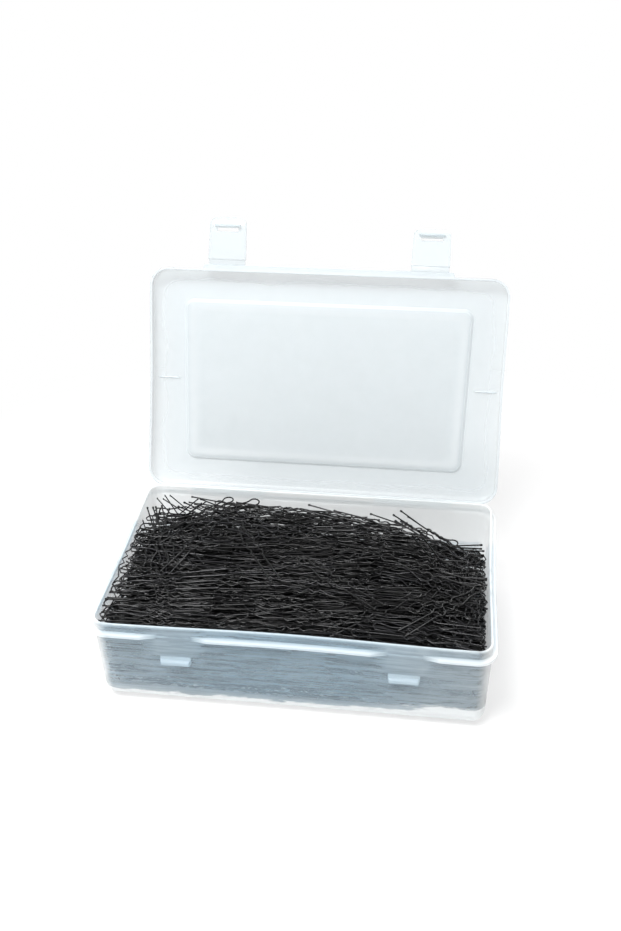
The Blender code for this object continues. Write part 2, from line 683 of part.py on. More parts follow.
def settle():
    """Lays pins down one by one: each tips until it touches at both ends, and clears all below it by GAP."""
    flat, radius = sampled(pin_route())
    laid = np.empty((0, 4))
    for x, y, yaw, turn in pin_spots():
        roll = heap_roll(x, y, yaw + turn)
        axes = pin_axes(yaw + turn, 0.0, roll)
        need = heights_needed(flat @ axes[:2] + (x, y, 0.0), radius, axes[2, 2], laid)
        axes = pin_axes(yaw + turn, resting_slope(flat[:, 0], need), roll)
        points = flat @ axes[:2] + (x, y, 0.0)
        height = heights_needed(points, radius, axes[2, 2], laid).max()
        points[:, 2] += height
        laid = np.concatenate([laid, np.column_stack([points, radius])])
        yield x, y, height, axes


def make_pins(surface):
    route = pin_route()
    wire = bpy.data.curves.new("hairpin_wire", "CURVE")
    wire.dimensions = "3D"
    wire.bevel_depth = PIN_WIRE / 2
    wire.bevel_resolution = 0
    wire.use_fill_caps = True
    spline = wire.splines.new("POLY")
    spline.points.add(len(route) - 1)
    for point, (x, y, ratio) in zip(spline.points, route):
        point.co = (x, y, 0.0, 1.0)
        point.radius = ratio
    wire.materials.append(surface)
    for i, (x, y, z, axes) in enumerate(settle(), 1):
        pin = bpy.data.objects.new(f"hairpin_{i:02d}", wire)
        bpy.context.scene.collection.objects.link(pin)
        pin.location = (x, y, z)
        pin.rotation_euler = Matrix(axes.T.tolist()).to_euler()


def main():
    clear_scene()
    clear_plastic = material("clear_polypropylene", (0.82, 0.87, 0.9), 0.35, transmission=0.6)
    paper = material("label_paper", (0.85, 0.85, 0.84), 0.6)
    black = material("black_lacquered_steel", (0.015, 0.015, 0.017), 0.35, 0.6)
    make_tray(clear_plastic)
    hinge = bpy.data.objects.new("lid_hinge", None)
    bpy.context.scene.collection.objects.link(hinge)
    hinge.location = (0.0, HINGE_Y, HINGE_Z)
    hinge.rotation_euler.x = -LID_OPEN
    make_lid(clear_plastic, hinge)
    make_label(paper, hinge)
    for side, sign in SIDES.items():
        make_strap(side, sign, clear_plastic)
        make_latch(side, sign, clear_plastic, hinge)
        make_latch_web(side, sign, clear_plastic, hinge)
    make_heap(black)
    make_pins(black)


main()
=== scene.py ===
"""Looks for a hinged, milky plastic box full of black wavy hairpins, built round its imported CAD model.

The file is laid out as an add-on and is run as a script. Metres, +Z up, the box's front towards -Y.
"""

import json
import math

import bpy
import numpy as np
from mathutils import Matrix, Vector

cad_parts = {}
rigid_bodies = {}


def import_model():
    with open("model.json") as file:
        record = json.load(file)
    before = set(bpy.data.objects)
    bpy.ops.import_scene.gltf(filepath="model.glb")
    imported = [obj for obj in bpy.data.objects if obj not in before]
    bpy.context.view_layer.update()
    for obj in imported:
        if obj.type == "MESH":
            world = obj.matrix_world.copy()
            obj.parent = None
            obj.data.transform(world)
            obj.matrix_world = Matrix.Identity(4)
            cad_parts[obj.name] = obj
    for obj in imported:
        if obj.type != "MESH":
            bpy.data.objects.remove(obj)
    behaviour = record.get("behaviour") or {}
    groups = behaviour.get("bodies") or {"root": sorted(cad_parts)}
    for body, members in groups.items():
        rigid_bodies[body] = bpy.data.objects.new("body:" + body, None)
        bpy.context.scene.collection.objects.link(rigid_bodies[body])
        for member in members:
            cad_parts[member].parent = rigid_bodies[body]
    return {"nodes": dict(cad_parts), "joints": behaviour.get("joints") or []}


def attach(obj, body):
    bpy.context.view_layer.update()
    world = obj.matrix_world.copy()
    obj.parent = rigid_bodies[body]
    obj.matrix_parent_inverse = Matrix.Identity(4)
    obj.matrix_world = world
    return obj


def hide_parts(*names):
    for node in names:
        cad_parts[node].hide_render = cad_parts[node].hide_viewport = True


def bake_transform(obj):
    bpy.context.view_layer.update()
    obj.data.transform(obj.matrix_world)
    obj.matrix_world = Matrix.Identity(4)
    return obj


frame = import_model()

bl_info = {
    "name": "Hairpin Box",
    "version": (1, 0, 0),
    "blender": (4, 5, 0),
    "location": "3D View > Sidebar > Hairpin Box",
    "description": "Builds a hinged plastic box of hairpins from its sizes",
    "category": "Add Mesh",
}

MM = 0.001
SIDES = {"left": -1, "right": 1}
NODES = set(frame["nodes"])
JOINTS = {joint["name"]: joint for joint in frame["joints"]}


def length(label, text, value):
    """A length property in metres, from millimetres."""
    return bpy.props.FloatProperty(
        name=label, description=text, default=value * MM, min=0.0, unit="LENGTH", precision=5
    )


def colour(label, text, value):
    """A colour property, from its red, green and blue."""
    return bpy.props.FloatVectorProperty(
        name=label, description=text, default=value, size=3, min=0.0, max=1.0, subtype="COLOR"
    )


def number(label, text, value, unit="NONE"):
    """A number property, which isn't in millimetres."""
    return bpy.props.FloatProperty(name=label, description=text, default=value, unit=unit)


class TraySizes(bpy.types.PropertyGroup):
    width: length("Width", "Tray from side to side at the rim", 178.0)
    depth: length("Depth", "Tray from front to back at the rim", 109.5)
    height: length("Height", "Tray from the table to the rim", 48.0)
    wall: length("Wall", "Thickness of the walls", 1.3)
    floor: length("Floor", "Thickness of the floor", 1.5)
    corner: length("Corner radius", "Radius of the upright corners at the rim", 7.0)
    edge: length("Bottom radius", "Radius between walls and floor", 9.0)
    draft: length("Draft", "How far the walls lean out from bottom to top", 1.4)
    front_bow: length("Front bow", "How far the front wall's middle bends in at the rim", 1.6)
    side_bow: length("Side bow", "How far the side walls bend in at the rim", 0.6)
    ledge_drop: length("Ledge drop", "From the rim down to the ledge the lid stands on", 4.5)
    ledge_thick: length("Ledge height", "Height of the ledge's edge", 1.9)
    ledge_out: length("Ledge width", "How far the ledge stands out", 2.2)
    catch_width: length("Catch width", "Width of the catch under each latch", 14.2)
    catch_height: length("Catch height", "Height of the catch", 3.8)
    catch_out: length("Catch depth", "How far the catch stands out", 2.5)
    catch_drop: length("Catch drop", "From the rim down to the catch's underside", 20.8)
    pad_width: length("Pad width", "Width of the raised pad behind each latch", 18.6)
    pad_out: length("Pad depth", "How far the pad stands out", 0.5)
    pad_height: length("Pad height", "Height of the pad", 11.5)


class LidSizes(bpy.types.PropertyGroup):
    height: length("Height", "Height of the lid's skirt and panel", 8.4)
    wall: length("Wall", "Thickness of the lid", 1.2)
    edge: length("Edge radius", "Radius round the lid's panel", 2.2)
    side_bow: length("Side bow", "How far the lid's sides bend in", 0.5)
    recess_width: length("Recess width", "Width of the label's recess", 146.5)
    recess_depth: length("Recess depth", "Depth of the label's recess", 81.5)
    recess_shift: length("Recess shift", "How far the recess lies towards the hinge", 0.8)
    recess_drop: length("Recess drop", "How far the recess is sunk", 1.4)
    recess_slope: length("Recess slope", "Run of the recess's sloping side", 1.2)
    recess_corner: length("Recess radius", "Corner radius of the recess", 4.0)
    recess_taper: length("Recess taper", "How far each side of the recess draws in at the hinge", 2.0)
    bar_width: length("Bar width", "Width of the bar along the front skirt", 126.5)
    bar_height: length("Bar height", "Height of the bar", 4.2)
    bar_out: length("Bar depth", "How far the bar stands out", 2.4)
    rib_length: length("Rib length", "Length of the small rib in each side margin", 12.0)
    label_margin: length("Label margin", "From the recess's edge to the label", 5.0)
    label_thick: length("Label thickness", "Thickness of the label", 0.2)


class LatchSizes(bpy.types.PropertyGroup):
    spacing: length("Spacing", "From the middle of one latch to the other", 102.4)
    gap: length("Ledge gap", "Gap in the tray's ledge at each latch", 26.0)
    width: length("Width", "Width at the hinge", 19.4)
    tip_width: length("Tip width", "Width at the tip", 18.4)
    reach: length("Length", "Length from the hinge to the tip", 22.8)
    thick: length("Thickness", "Thickness of the plate", 1.2)
    tip_radius: length("Tip radius", "Radius of the tip's corners", 4.0)
    lip: length("Lip", "Length of the lip that bends out", 4.2)
    lip_bend: length("Lip bend", "How far the lip bends out", 1.5)
    web: length("Web", "Length of the thin hinge", 1.6)
    web_thick: length("Web thickness", "Thickness of the thin hinge", 0.45)
    slot_width: length("Slot width", "Width of the slot over the hook", 10.8)
    slot_height: length("Slot height", "Height of the slot", 1.8)
    hook_width: length("Hook width", "Width of the hook", 13.0)
    clear: length("Clearance", "Gap between the shut latch and its catch", 0.35)
    grip: length("Hook grip", "How far the hook reaches under the catch", 1.5)
    hook_thick: length("Hook thickness", "Height of the hook", 1.4)


class HingeSizes(bpy.types.PropertyGroup):
    spacing: length("Spacing", "From the middle of one hinge strap to the other", 96.6)
    width: length("Width", "Width of each strap", 40.0)
    thick: length("Thickness", "Thickness of a strap", 0.5)
    shelf: length("Shelf thickness", "Thickness of the shelf that carries a strap", 0.9)
    shelf_drop: length("Shelf drop", "From the ledge's top down to the shelf", 0.4)
    out: length("Axis distance", "From the lid's back to the hinge axis", 0.9)
    gap: length("Gap", "Gap between the lid's skirt and the ledge", 0.3)


class PinSizes(bpy.types.PropertyGroup):
    reach: length("Length", "Length of a hairpin", 50.0)
    wire: length("Wire", "Diameter of the wire", 0.75)
    tip: number("Tip ratio", "Tip's width over the wire's", 1.55)
    head: length("Head", "Width of the bent head", 5.2)
    neck: length("Neck", "Width just below the head", 2.6)
    spread: length("Spread", "Spacing of the legs", 4.8)
    wave_start: length("Wave start", "From the head to the first wave", 15.0)
    wave_pitch: length("Wave pitch", "Length of a wave", 5.5)
    wave_depth: length("Wave depth", "How far a wave swings", 0.65)
    amount: bpy.props.IntProperty(name="Amount", description="Most hairpins in the heap", default=2300)
    seed: bpy.props.IntProperty(name="Seed", description="Number that starts the scatter", default=5)
    crest_drop: length("Drop", "From the rim down to the heap's level top", 0.6)
    crest_fall: length("Fall", "How far the heap falls behind its crest", 24.0)
    crest_reach: length("Fall reach", "Distance over which it falls", 20.0)


class Finishes(bpy.types.PropertyGroup):
    milk: colour("Lid", "Colour of the lid's and latches' milky plastic", (0.59, 0.66, 0.69))
    # Painted light: the same plastic as the lid's, painted lighter for the tray to make up for the shade
    # inside it.
    lightened_tray_milk: colour("Tray", "Colour of the tray's milky plastic", (0.93, 0.97, 0.98))
    # Painted shade: the tray's plastic is painted darker where black pins lie behind it, standing in for the
    # light that they take.
    painted_pin_shade: colour("Veil", "Colour of the tray's plastic with black pins behind it", (0.54, 0.735, 0.87))
    # Partly the white of thick plastic, partly painted light: lighter than the lid's edge to make up for the
    # shade on the tray's rounded bottom.
    edge: colour("Tray's edge", "Colour of the tray's plastic where it is thick", (0.92, 0.95, 0.96))
    lid_edge: colour("Lid's edge", "Colour of the lid's plastic where it is thick", (0.76, 0.815, 0.845))
    paper: colour("Label", "Colour of the label", (0.97, 0.965, 0.95))
    lacquer: colour("Lacquer", "Colour of the black wire", (0.0015, 0.0015, 0.0017))
    milk_share: number("Milkiness", "Share of light that one surface of the wall scatters", 0.36)


class StageSettings(bpy.types.PropertyGroup):
    floor_colour: colour("Floor", "Colour of the floor and backdrop", (0.93, 0.93, 0.93))
    world_strength: number("Sky", "Strength of the even sky", 0.18)
    key_power: number("Key light", "Power in watts", 12.6, "POWER")
    fill_power: number("Fill light", "Power in watts", 5.2, "POWER")
    front_power: number("Front light", "Power in watts", 1.0, "POWER")
    focal: number("Focal length", "For a picture 36 mm high", 41.966, "CAMERA")
    place: bpy.props.FloatVectorProperty(
        name="Camera",
        description="Where the camera stands",
        default=(0.061876, -0.399362, 0.371090),
        unit="LENGTH",
    )
    yaw: number("Turn", "From straight on", 0.143545, "ROTATION")
    pitch: number("Tilt", "Down from level", 0.588436, "ROTATION")
    roll: number("Roll", "About the view line", 0.022539, "ROTATION")


# Meshes from arrays


def clear_name(collection, name):
    """Removes what an earlier run has left in one of Blender's collections under a name."""
    if name in collection:
        collection.remove(collection[name])


def ring_faces(rows, count):
    """Quads of a grid whose rows wrap round: (v, u), (v, u + 1), (v + 1, u + 1), (v + 1, u)."""
    v, u = np.meshgrid(np.arange(rows - 1), np.arange(count), indexing="ij")
    after = (u + 1) % count
    quads = [v * count + u, v * count + after, (v + 1) * count + after, (v + 1) * count + u]
    return np.stack(quads, -1).reshape(-1, 4)


def mesh_from(name, points, quads, triangles):
    """Mesh from arrays of points, quads and triangles, turned so that its faces point outwards.

    The sign of the sum of a . (b x c) over its triangles tells which way they point.
    """
    halves = np.concatenate([triangles, quads[:, [0, 1, 2]], quads[:, [0, 2, 3]]])
    a, b, c = (points[halves[:, i]] for i in range(3))
    if np.einsum("ij,ij->", a, np.cross(b, c)) < 0:
        quads, triangles = quads[:, ::-1], triangles[:, ::-1]
    clear_name(bpy.data.meshes, name)
    mesh = bpy.data.meshes.new(name)
    mesh.vertices.add(len(points))
    mesh.vertices.foreach_set("co", points.astype(np.float32).ravel())
    corners = np.concatenate([quads.ravel(), triangles.ravel()])
    mesh.loops.add(len(corners))
    mesh.loops.foreach_set("vertex_index", corners.astype(np.int32))
    starts = np.concatenate([np.arange(len(quads)) * 4, len(quads) * 4 + np.arange(len(triangles)) * 3])
    mesh.polygons.add(len(starts))
    mesh.polygons.foreach_set("loop_start", starts.astype(np.int32))
    mesh.update(calc_edges=True)
    mesh.validate()
    return mesh


def give(mesh, name, values):
    """Gives a mesh an attribute, with one number for each point."""
    numbers = np.asarray(values, np.float32).ravel()
    mesh.attributes.new(name, "FLOAT", "POINT").data.foreach_set("value", numbers)


def add_piece(mesh, finish, body=None, stands_for=(), crease=40.0):
    """Object for a mesh, named after it: smooth but for edges sharper than crease degrees, on its body."""
    name = mesh.name
    clear_name(bpy.data.objects, name)
    obj = bpy.data.objects.new(name, mesh)
    bpy.context.scene.collection.objects.link(obj)
    mesh.materials.append(finish_named(finish))
    mesh.shade_smooth()
    if crease:
        mesh.set_sharp_from_angle(angle=math.radians(crease))
    if body:
        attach(obj, body)
    known = [node for node in stands_for if node in NODES]
    if known:
        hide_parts(*known)
    return obj


def shell(name, rings, depths):
    """Closed surface through rings of equal counts, with a pole at the mean of the first and of the last.

    depths gives how deep the plastic is, from 0 to 1: one number for all, or one entry for each ring, which
    is a number or one for each point. It becomes the attribute depth, which the milky finish reads.
    """
    count, rows = len(rings[0]), len(rings)
    if isinstance(depths, float):
        depths = [depths] * rows
    points = np.concatenate([*rings, rings[0].mean(0)[None], rings[-1].mean(0)[None]])
    poles = [np.ravel(depths[0])[:1], np.ravel(depths[-1])[:1]]
    u = np.arange(count)
    after = (u + 1) % count
    last = (rows - 1) * count
    first_fan = np.stack([np.full(count, rows * count), after, u], 1)
    last_fan = np.stack([np.full(count, rows * count + 1), last + u, last + after], 1)
    mesh = mesh_from(name, points, ring_faces(rows, count), np.concatenate([first_fan, last_fan]))
    give(mesh, "depth", np.concatenate([np.broadcast_to(d, count) for d in depths] + poles))
    return mesh


def turned(points, axis_y, axis_z, angle):
    """Points turned about a line along X through (axis_y, axis_z) by the right-hand rule."""
    points = np.asarray(points, float)
    y, z = points[..., 1] - axis_y, points[..., 2] - axis_z
    cos, sin = math.cos(angle), math.sin(angle)
    return np.stack([points[..., 0], y * cos - z * sin + axis_y, y * sin + z * cos + axis_z], -1)


def edges(spacing, width):
    """X of the four edges of a pair of things of one width, spaced evenly about the middle."""
    return [side * (spacing / 2 + edge * width / 2) for side in (-1, 1) for edge in (-1, 1)]


# Outlines


def stops(side, spots, fine, coarse):
    """Places along a straight side that runs from -side to side, as shares of it from -1/2 to 1/2.

    They are coarse steps, and fine ones within 5 mm of each spot.
    """
    near = np.arange(-5 * MM, 5 * MM, fine)
    parts = [np.linspace(-side, side, max(3, round(2 * side / coarse)))[1:-1]]
    found = np.sort(np.concatenate(parts + [spot + near for spot in spots]))
    found = found[np.abs(found) < side - fine]
    return found[np.concatenate([[True], np.diff(found) > 0.6 * fine])] / (2 * side)


def outline(half, radius, fractions, bows=(0.0, 0.0), steps=12):
    """Rounded rectangle seen from above, counter-clockwise from its right side.

    fractions holds the places along the right, back, left and front sides, from -1/2 to 1/2. The front and
    the two sides move in by their bow times cos(pi * f)^2.
    """
    a, b = half
    turn = np.linspace(0.0, math.pi / 2, steps + 1)
    points = []
    for quarter, f in enumerate(fractions):
        across, along = (a, b) if quarter % 2 == 0 else (b, a)
        bow = (bows[1], 0.0, bows[1], bows[0])[quarter]
        side = np.stack([across - bow * np.cos(math.pi * f) ** 2, 2 * f * (along - radius)], 1)
        corner = radius * np.stack([np.cos(turn), np.sin(turn)], 1) + (across - radius, along - radius)
        cos, sin = ((1, 0), (0, 1), (-1, 0), (0, -1))[quarter]
        points.append(np.concatenate([side, corner]) @ np.array([[cos, sin], [-sin, cos]]))
    return np.concatenate(points)


def at_height(points, z):
    """Points in X and Y with a height, or with one each."""
    return np.column_stack([points, np.broadcast_to(z, len(points))])


def tray_outline(t, inset, z, fractions):
    """The tray's outer wall at height z, moved in by inset: it leans in by draft * (1 - z / height)."""
    lean = t.draft * (1 - z / t.height) + inset
    share = z / t.height
    half = (t.width / 2 - lean, t.depth / 2 - lean)
    return outline(half, max(t.corner - lean, 2 * MM), fractions, (t.front_bow * share, t.side_bow * share))


def wall_front(t, x, z):
    """How far the tray's front wall stands from the middle, outside, at x and z."""
    bow = t.front_bow * z / t.height * np.cos(math.pi * x / (t.width - 2 * t.corner)) ** 2
    return t.depth / 2 - t.draft * (1 - z / t.height) - bow


def quarter_round(radius, steps):
    """Pairs of how far in and how far up along a quarter round, from the flat to the wall."""
    angle = np.linspace(0.0, math.pi / 2, steps + 1)
    return list(zip(radius * (1 - np.sin(angle)), radius * (1 - np.cos(angle))))


# Tray


def ledge_share(points, back, front_gap, back_gap):
    """1 where the tray's ledge is whole and 0 in its gaps, with a run of r = 2.5 mm past each gap's edge.

    In the run it is sqrt(1 - (1 - s / r)^2), where s is the distance from the edge.
    """
    run = 2.5 * MM
    x, y = points[:, 0], points[:, 1]
    share = np.ones(len(points))
    for mask, (spacing, width) in ((y < -back, front_gap), (y > back, back_gap)):
        past = np.clip((np.abs(np.abs(x) - spacing / 2) - width / 2) / run, 0.0, 1.0)
        share = np.where(mask, np.minimum(share, np.sqrt(1 - (1 - past) ** 2)), share)
    return share


def pad_share(x, z, spacing, width, low, high):
    """1 on the raised pads and 0 off them, over soft edges of half a millimetre."""
    soft = 0.5 * MM
    across = np.clip((width / 2 - np.abs(np.abs(x) - spacing / 2)) / soft + 0.5, 0.0, 1.0)
    up = np.clip((z - low) / soft + 0.5, 0.0, 1.0) * np.clip((high - z) / soft + 0.5, 0.0, 1.0)
    return across * up


def tray_shell(t, latch, hinge):
    """The tray: a section carried round its outline.

    The section runs from the middle of the underside over the bottom edge, wall, ledge and rim, and down the
    inside to the middle of the floor. In the ledge's gaps its rings lie evenly on the wall, and the pads
    push the front wall out. The plastic is deepest on the ledge and the rim, and a faint line shows the
    pads' edges.
    """
    straight_x, straight_y = t.width / 2 - t.corner, t.depth / 2 - t.corner
    fine, coarse = 0.35 * MM, 4 * MM
    spots = edges(latch.spacing, latch.gap) + edges(latch.spacing, t.pad_width)
    front = stops(straight_x, spots, fine, coarse)
    back = stops(straight_x, edges(hinge.spacing, hinge.width), fine, coarse)
    side = stops(straight_y, [], fine, coarse)
    fractions = (side, back, side, front)
    top = t.height - t.ledge_drop
    low = top - t.ledge_thick
    pad_low = t.height - t.catch_drop + t.catch_height
    above_round = 12 * MM
    strap_gap = (hinge.spacing, hinge.width + 2 * hinge.gap)
    at_ledge = tray_outline(t, 0.0, top, fractions)
    share = ledge_share(at_ledge, straight_y, (latch.spacing, latch.gap), strap_gap)
    rings, depths = [], []

    def add(inset, z, depth, out=0.0):
        """A ring on the wall, moved in, or out where the ledge is whole."""
        level = float(np.mean(z))
        base = tray_outline(t, inset, level, fractions)
        if out:
            base = base + (tray_outline(t, inset - out, level, fractions) - base) * share[:, None]
        rings.append(at_height(base, z))
        depths.append(depth)

    def add_outside(z, depth=0.0, out=0.0):
        """A ring on the outside of the wall, which the pads push out."""
        add(0.0, z, depth, out)
        ring = rings[-1]
        on_front = ring[:, 1] < -straight_y
        pads = (ring[:, 0], ring[:, 2], latch.spacing, t.pad_width, pad_low)
        to_rim = pad_share(*pads, 2 * t.height)
        ring[:, 1] -= t.pad_out * pad_share(*pads, pad_low + t.pad_height) * on_front
        depths[-1] = np.clip(depth + (3.0 * to_rim * (1 - to_rim) + 0.08 * to_rim) * on_front, 0.0, 1.0)

    foot = tray_outline(t, t.edge, 0.0, fractions)
    for scale in (0.25, 0.55, 0.85):
        rings.append(at_height(foot * scale, 0.0))
        depths.append(0.12)
    for inset, z in quarter_round(t.edge, 12):
        add(inset, z, 0.12)
    for z in sorted([*np.linspace(above_round, low - 1.2 * MM, 12), pad_low - 0.3 * MM, pad_low + 0.3 * MM]):
        add_outside(z)
    soft, out = 0.45 * MM, t.ledge_out
    rounds = [(soft * (1 - math.sin(a)), soft * (1 - math.cos(a))) for a in np.radians((30.0, 60.0, 90.0))]
    ledge = [(0.0, low - 0.4 * MM, 0.15), (0.3 * MM, low - 0.05 * MM, 0.5), (out - soft, low, 0.9)]
    ledge += [(out - back_in, low + up, 1.0) for back_in, up in rounds]
    ledge += [(out, top - 2 * soft, 0.7), (out, top - soft, 1.0)]
    ledge += [(out - up, top - back_in, 0.9) for back_in, up in rounds]
    ledge += [(0.35 * MM, top, 0.35), (0.0, top + 0.25 * MM, 0.0)]
    evenly = np.linspace(low - 0.4 * MM, top + 0.25 * MM, len(ledge))
    for (reach, z, depth), even in zip(ledge, evenly):
        add_outside(share * z + (1 - share) * even, 0.75 * depth * share, reach)
    add_outside(t.height - 1.4 * MM)
    add_outside(t.height - 0.9 * MM, 0.1)
    bead = t.wall / 2
    for angle in np.linspace(0.0, math.pi, 9):
        up = math.sin(angle)
        add(bead * (1 - math.cos(angle)), t.height - bead * (1 - up), 0.15 + 0.3 * up)
    for z in (t.height - 1.3 * MM, t.height - 3.2 * MM, *np.linspace(t.height - 6 * MM, above_round, 8)):
        add(t.wall, z, 0.0)
    for inset, up in reversed(quarter_round(t.edge - t.wall, 10)):
        add(t.wall + inset, t.floor + up, 0.05)
    floor = tray_outline(t, t.edge, t.floor, fractions)
    for scale in (0.85, 0.55, 0.25):
        rings.append(at_height(floor * scale, t.floor))
        depths.append(0.0)
    return shell("tray_shell", rings, depths)


def catch_solid(name, t, latch, sign):
    """A catch: its profile carried along X, with both ends drawn in where it stands out.

    The profile, in mm out from the wall and up from the catch's top, has a sloping top, a ridge, a step and
    an upright face, each with a small round.
    """
    profile = np.array([
        (0.02, 0.30), (0.15, 0.05), (0.45, -0.45), (0.95, -1.05), (1.02, -1.22), (1.10, -1.30),
        (1.35, -1.32), (1.55, -1.30), (1.80, -1.42), (2.30, -1.78), (2.46, -1.98), (2.50, -2.20),
        (2.50, -3.30), (2.44, -3.62), (2.25, -3.78), (1.95, -3.80), (0.30, -3.80), (0.02, -3.80),
    ]) * MM
    drawn_out, drawn_high = 2.5 * MM, 3.8 * MM
    x_mid = sign * latch.spacing / 2
    low, high = t.height - t.catch_drop, t.height - t.catch_drop + t.catch_height
    profile *= np.array([t.catch_out / drawn_out, (high - low) / drawn_high])
    draw_in = 0.6 * MM * profile[:, 0] / t.catch_out
    rings = []
    for place, size in (
        (-1.0, 0.86), (-0.985, 0.97), (-0.95, 1.0), (-0.6, 1.0), (0.0, 1.0),
        (0.6, 1.0), (0.95, 1.0), (0.985, 0.97), (1.0, 0.86),
    ):
        x = x_mid + place * (t.catch_width / 2 - draw_in)
        y = -wall_front(t, x_mid, low) - 0.02 * MM - profile[:, 0] * size
        z = high + profile[:, 1] * size + profile[:, 1].min() * (1 - size) / 2
        rings.append(np.column_stack([x, y, z]))
    return shell(name, rings, 0.15)


# Lid, worked out shut and then turned open about the hinge


def hinge_line(t, hinge):
    """Y and Z of the lid's hinge axis."""
    return t.depth / 2 + t.ledge_out + hinge.out, t.height - t.ledge_drop + hinge.gap / 2


def open_lid(points, t, hinge):
    """Turns the shut lid's points to where the photographed lid stands, at the joint's zero."""
    angle = math.radians(JOINTS["lid_hinge"]["range_deg"][0])
    return turned(points, *hinge_line(t, hinge), angle)


def lid_outline(t, lid, inset, fractions):
    """The shut lid's outer wall seen from above, over the tray's ledge, moved in by inset."""
    half = (t.width / 2 + t.ledge_out - inset, t.depth / 2 + t.ledge_out - inset)
    return outline(half, max(t.corner + t.ledge_out - inset, 2 * MM), fractions, (0.0, lid.side_bow))


def recess_outline(lid, grow, fractions):
    """The label's recess grown by a margin: a rounded rectangle that narrows towards the hinge."""
    half = (lid.recess_width / 2 + grow, lid.recess_depth / 2 + grow)
    points = outline(half, max(lid.recess_corner + grow, 1.5 * MM), fractions)
    points[:, 0] *= 1 - lid.recess_taper / half[0] * (points[:, 1] / half[1] + 1) / 2
    points[:, 1] += lid.recess_shift
    return points


def bar_share(points, lid, back):
    """1 along the bar on the lid's front skirt and 0 past its ends, over 0.6 mm."""
    ends = np.clip((lid.bar_width / 2 - np.abs(points[:, 0])) / (0.6 * MM) + 0.5, 0.0, 1.0)
    return np.where(points[:, 1] < -back, ends, 0.0)


def lid_shell(t, lid, hinge):
    """The lid: a section carried round its outline, from the outside's middle to the inside's middle.

    It runs from the recess over the panel, the round and the skirt with its bar, and back inside them one
    wall further in. The recess's steps are tables of how far out, how high and how deep the plastic is.
    """
    straight_x = t.width / 2 + t.ledge_out - (t.corner + t.ledge_out)
    straight_y = t.depth / 2 + t.ledge_out - (t.corner + t.ledge_out)
    fine = 0.3 * MM
    front = stops(straight_x, [-lid.bar_width / 2, lid.bar_width / 2], fine, 4 * MM)
    even = stops(straight_x, [], fine, 5 * MM)
    side = stops(straight_y, [], fine, 5 * MM)
    fractions = (side, even, side, front)
    bottom = t.height - t.ledge_drop + hinge.gap
    top = bottom + lid.height
    share = bar_share(lid_outline(t, lid, 0.0, fractions), lid, straight_y)
    rings, depths = [], []

    def add(points, z, depth):
        """A ring over an outline at a height."""
        rings.append(at_height(points, z))
        depths.append(depth)

    def add_wall(inset, z, depth, out=0.0):
        """A ring on the wall, moved in, or out along the bar."""
        base = lid_outline(t, lid, inset, fractions)
        if out:
            base = base + (lid_outline(t, lid, inset - out, fractions) - base) * share[:, None]
        add(base, z, depth)

    def add_recess(grow, steps, level):
        """Rings over one edge of the recess, from a table in mm."""
        for out, up, depth in steps:
            add(recess_outline(lid, grow + out * MM, fractions), level + up * MM, depth)

    def add_middle(scales, level):
        """Rings inside the recess, over which its flat is spread."""
        for scale in scales:
            add(recess_outline(lid, -lid.recess_slope, fractions) * scale, level, 0.0)

    def add_panel(grow, level):
        """A ring half way between the recess and the round."""
        add((recess_outline(lid, grow, fractions) + lid_outline(t, lid, lid.edge, fractions)) / 2, level, 0.0)

    drop, slope, wall = lid.recess_drop, lid.recess_slope, lid.wall
    add_middle((0.3, 0.6, 0.9), top - drop)
    add_recess(-slope, ((-0.5, 0.0, 0.1), (0.0, 0.05, 0.5), (0.25, 0.3, 0.5)), top - drop)
    add_recess(0.0, ((-0.25, -0.3, 0.5), (0.0, -0.05, 0.5), (0.5, 0.0, 0.1)), top)
    add_panel(0.5 * MM, top)
    # Painted light: the round is given a depth below zero, clearer than the plastic is, to lighten its shade.
    for inset, down in quarter_round(lid.edge, 7):
        add_wall(inset, top - down, -0.1)
    bar, bar_out = lid.bar_height, lid.bar_out
    for out, z, depth in (
        (0.0, bar + 0.2 * MM, 0.2),
        (0.25 * MM, bar, 0.8),
        (bar_out - 1.0 * MM, bar, 1.0),
        (bar_out - 0.75 * MM, bar - 0.1 * MM, 1.0),
        (bar_out - 0.1 * MM, bar - 0.75 * MM, 1.0),
        (bar_out, bar - 1.0 * MM, 1.0),
        (bar_out, 0.3 * MM, 1.0),
        (bar_out - 0.3 * MM, 0.0, 1.0),
    ):
        # Painted light: off the bar the skirt is clearer than the plastic, to lighten its shade.
        add_wall(0.0, bottom + z, 0.7 * depth * share - 0.2 * (1 - share), out)
    bead = wall / 2
    for angle in np.linspace(math.pi / 5, math.pi, 6):
        up, inset = 0.35 * bead * (1 - math.sin(angle)), bead * (1 - math.cos(angle))
        add_wall(inset, bottom + up, 0.5)
    add_wall(wall, bottom + 1.0 * MM, 0.0)
    # Painted light: the inside of the skirt and its round are clearer than the plastic, to lighten their
    # shade.
    add_wall(wall, bottom + 4.0 * MM, -0.15)
    for inset, down in reversed(quarter_round(lid.edge - wall, 5)):
        add_wall(wall + inset, top - wall - down, -0.15)
    add_panel(wall, top - wall)
    add_recess(wall, ((0.4, 0.0, 0.1), (0.0, -0.05, 0.4), (-0.3, -0.3, 0.4)), top - wall)
    add_recess(wall - slope, ((0.3, 0.3, 0.4), (0.0, 0.05, 0.4), (-0.4, 0.0, 0.1)), top - wall - drop)
    add_middle((0.9, 0.6, 0.3), top - wall - drop)
    return shell("lid_shell", [open_lid(r, t, hinge) for r in rings], depths)


